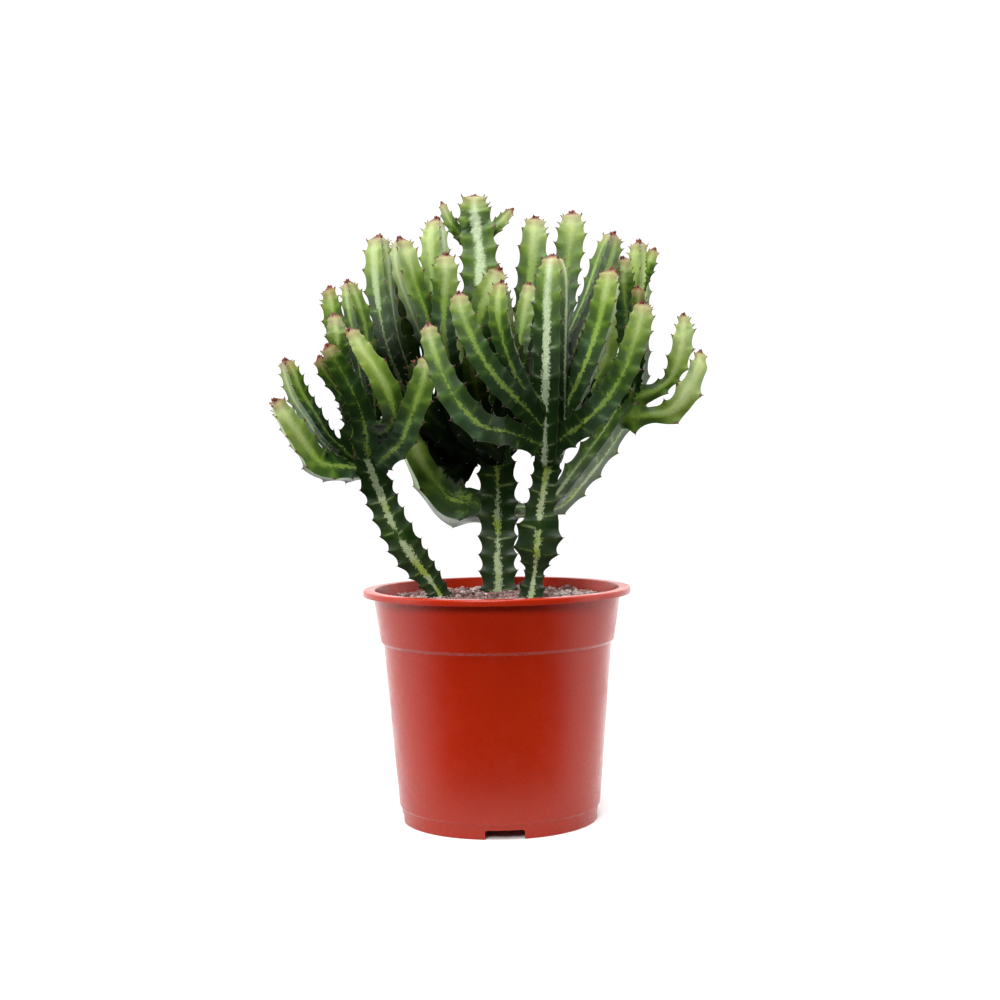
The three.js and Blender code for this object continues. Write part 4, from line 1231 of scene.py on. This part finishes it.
CAMERA_BACK, CAMERA_SIDE, CAMERA_HEIGHT = 1.1383, 0.0032, 0.2668
CAMERA_PITCH, CAMERA_ROLL = 0.0352, -0.0151
CAMERA_LENS = 57.607                # on a 36 mm sensor
LIGHTS_AIM = (0, 0, 0.22)
LIGHTS = {                          # place, size, power
    "left_box": ((-1.3, -0.3, 0.6), (0.6, 1.4), 5),
    "right_box": ((1.3, -0.2, 0.5), (0.6, 1.4), 4),
    "top_box": ((-0.15, -0.45, 1.6), (0.9, 0.7), 23),
    "front_box": ((-0.3, -1.35, 0.95), (0.7, 0.5), 19),
}
ROOM_LIGHT = {"From Min": -0.6, "From Max": 0.1, "To Min": 0.06, "To Max": 1.7}
BACKDROP_LIGHT = 1.1
FLOOR_RINGS, FLOOR_SPOKES, FLOOR_REACH = 12, 96, 300
FLOOR_FADE = (0.1, 0.2)             # metres from the axis over which it fades out


def build_camera():
    camera = bpy.data.objects.new("camera", bpy.data.cameras.new("camera"))
    camera.data.lens = CAMERA_LENS
    camera.data.sensor_width = 36
    camera.location = (AXIS[0] + CAMERA_SIDE, AXIS[1] - CAMERA_BACK, CAMERA_HEIGHT)
    turn = Matrix.Rotation(math.pi / 2 - CAMERA_PITCH, 4, "X") @ Matrix.Rotation(CAMERA_ROLL, 4, "Z")
    camera.rotation_euler = turn.to_euler()
    bpy.context.scene.collection.objects.link(camera)
    bpy.context.scene.camera = camera


def soft_light(name, place, size, power):
    """A wide lamp aimed at the plant."""
    light = bpy.data.lights.new(name, "AREA")
    light.shape = "RECTANGLE"
    light.size, light.size_y = size
    light.energy = power
    lamp = bpy.data.objects.new(name, light)
    lamp.location = place
    aim = Vector(LIGHTS_AIM) - Vector(place)
    lamp.rotation_euler = aim.to_track_quat("-Z", "Y").to_euler()
    bpy.context.scene.collection.objects.link(lamp)


def build_world():
    """A white room: bright at the sides and behind the plant, dim where the camera stands."""
    world = bpy.data.worlds.new("studio")
    world.use_nodes = True
    nodes, links = world.node_tree.nodes, world.node_tree.links
    nodes.clear()
    output, pick = nodes.new("ShaderNodeOutputWorld"), nodes.new("ShaderNodeMixShader")
    room, seen = nodes.new("ShaderNodeBackground"), nodes.new("ShaderNodeBackground")
    path, place = nodes.new("ShaderNodeLightPath"), nodes.new("ShaderNodeTexCoord")
    split, ramp = nodes.new("ShaderNodeSeparateXYZ"), nodes.new("ShaderNodeMapRange")
    ramp.interpolation_type = "SMOOTHSTEP"
    for name, value in ROOM_LIGHT.items():
        ramp.inputs[name].default_value = value
    for background in (room, seen):
        background.inputs["Color"].default_value = (1, 1, 1, 1)
    seen.inputs["Strength"].default_value = BACKDROP_LIGHT
    links.new(place.outputs["Generated"], split.inputs[0])
    links.new(split.outputs["Y"], ramp.inputs["Value"])
    links.new(ramp.outputs[0], room.inputs["Strength"])
    links.new(path.outputs["Is Camera Ray"], pick.inputs[0])
    links.new(room.outputs[0], pick.inputs[1])
    links.new(seen.outputs[0], pick.inputs[2])
    links.new(pick.outputs[0], output.inputs[0])
    bpy.context.scene.world = world


def floor_material():
    """Nearly white, fading into the white of the room."""
    g = Graph("floor")
    tint = g.noise(g.place, 3, 2)
    away = g.add("VectorMath", (g.place,), "Value", operation="LENGTH")
    g.put(g.shader.inputs["Alpha"], away.smooth(*FLOOR_FADE, 1, 0))
    return g.finish(g.mix(tint, (0.9, 0.9, 0.9, 1), (0.95, 0.95, 0.95, 1)), 0.7)


def build_floor():
    """A pale round sheet."""
    points, faces = [(0, 0, 0)], []
    for ring in range(1, FLOOR_RINGS + 1):
        reach = FLOOR_REACH * ring / FLOOR_RINGS
        for spoke in range(FLOOR_SPOKES):
            turn = spoke * 2 * math.pi / FLOOR_SPOKES
            points.append((reach * math.cos(turn), reach * math.sin(turn), 0))
    for spoke in range(FLOOR_SPOKES):
        following = (spoke + 1) % FLOOR_SPOKES
        faces.append((0, 1 + spoke, 1 + following))
        for ring in range(FLOOR_RINGS - 1):
            a, b = 1 + ring * FLOOR_SPOKES + spoke, 1 + ring * FLOOR_SPOKES + following
            faces.append((a, a + FLOOR_SPOKES, b + FLOOR_SPOKES, b))
    floor = new_object("floor", points, faces, floor_material(), smooth=False)


def build_studio():
    build_world()
    build_floor()
    build_camera()
    for name, (place, size, power) in LIGHTS.items():
        soft_light(name, place, size, power)
    bpy.context.scene.view_settings.view_transform = "Standard"
    bpy.context.scene.view_settings.look = "None"


# ---- the scene ------------------------------------------------------------------

build_studio()
build_pot(pot_material())
build_bed(mix_material())
LAVA = lava_material()
build_grit(LAVA)
build_stones(LAVA)
GREENS = {"flesh": flesh_material(), "spine": spine_material(), "leaf": leaf_material()}
GROWN = {name: make_branches(name, order + 1) for order, name in enumerate(PLANTS)}
CROWD = crowding(GROWN)
for order, (plant_name, parts) in enumerate(GROWN.items()):
    build_plant(plant_name, parts, order + 1, CROWD, GREENS)
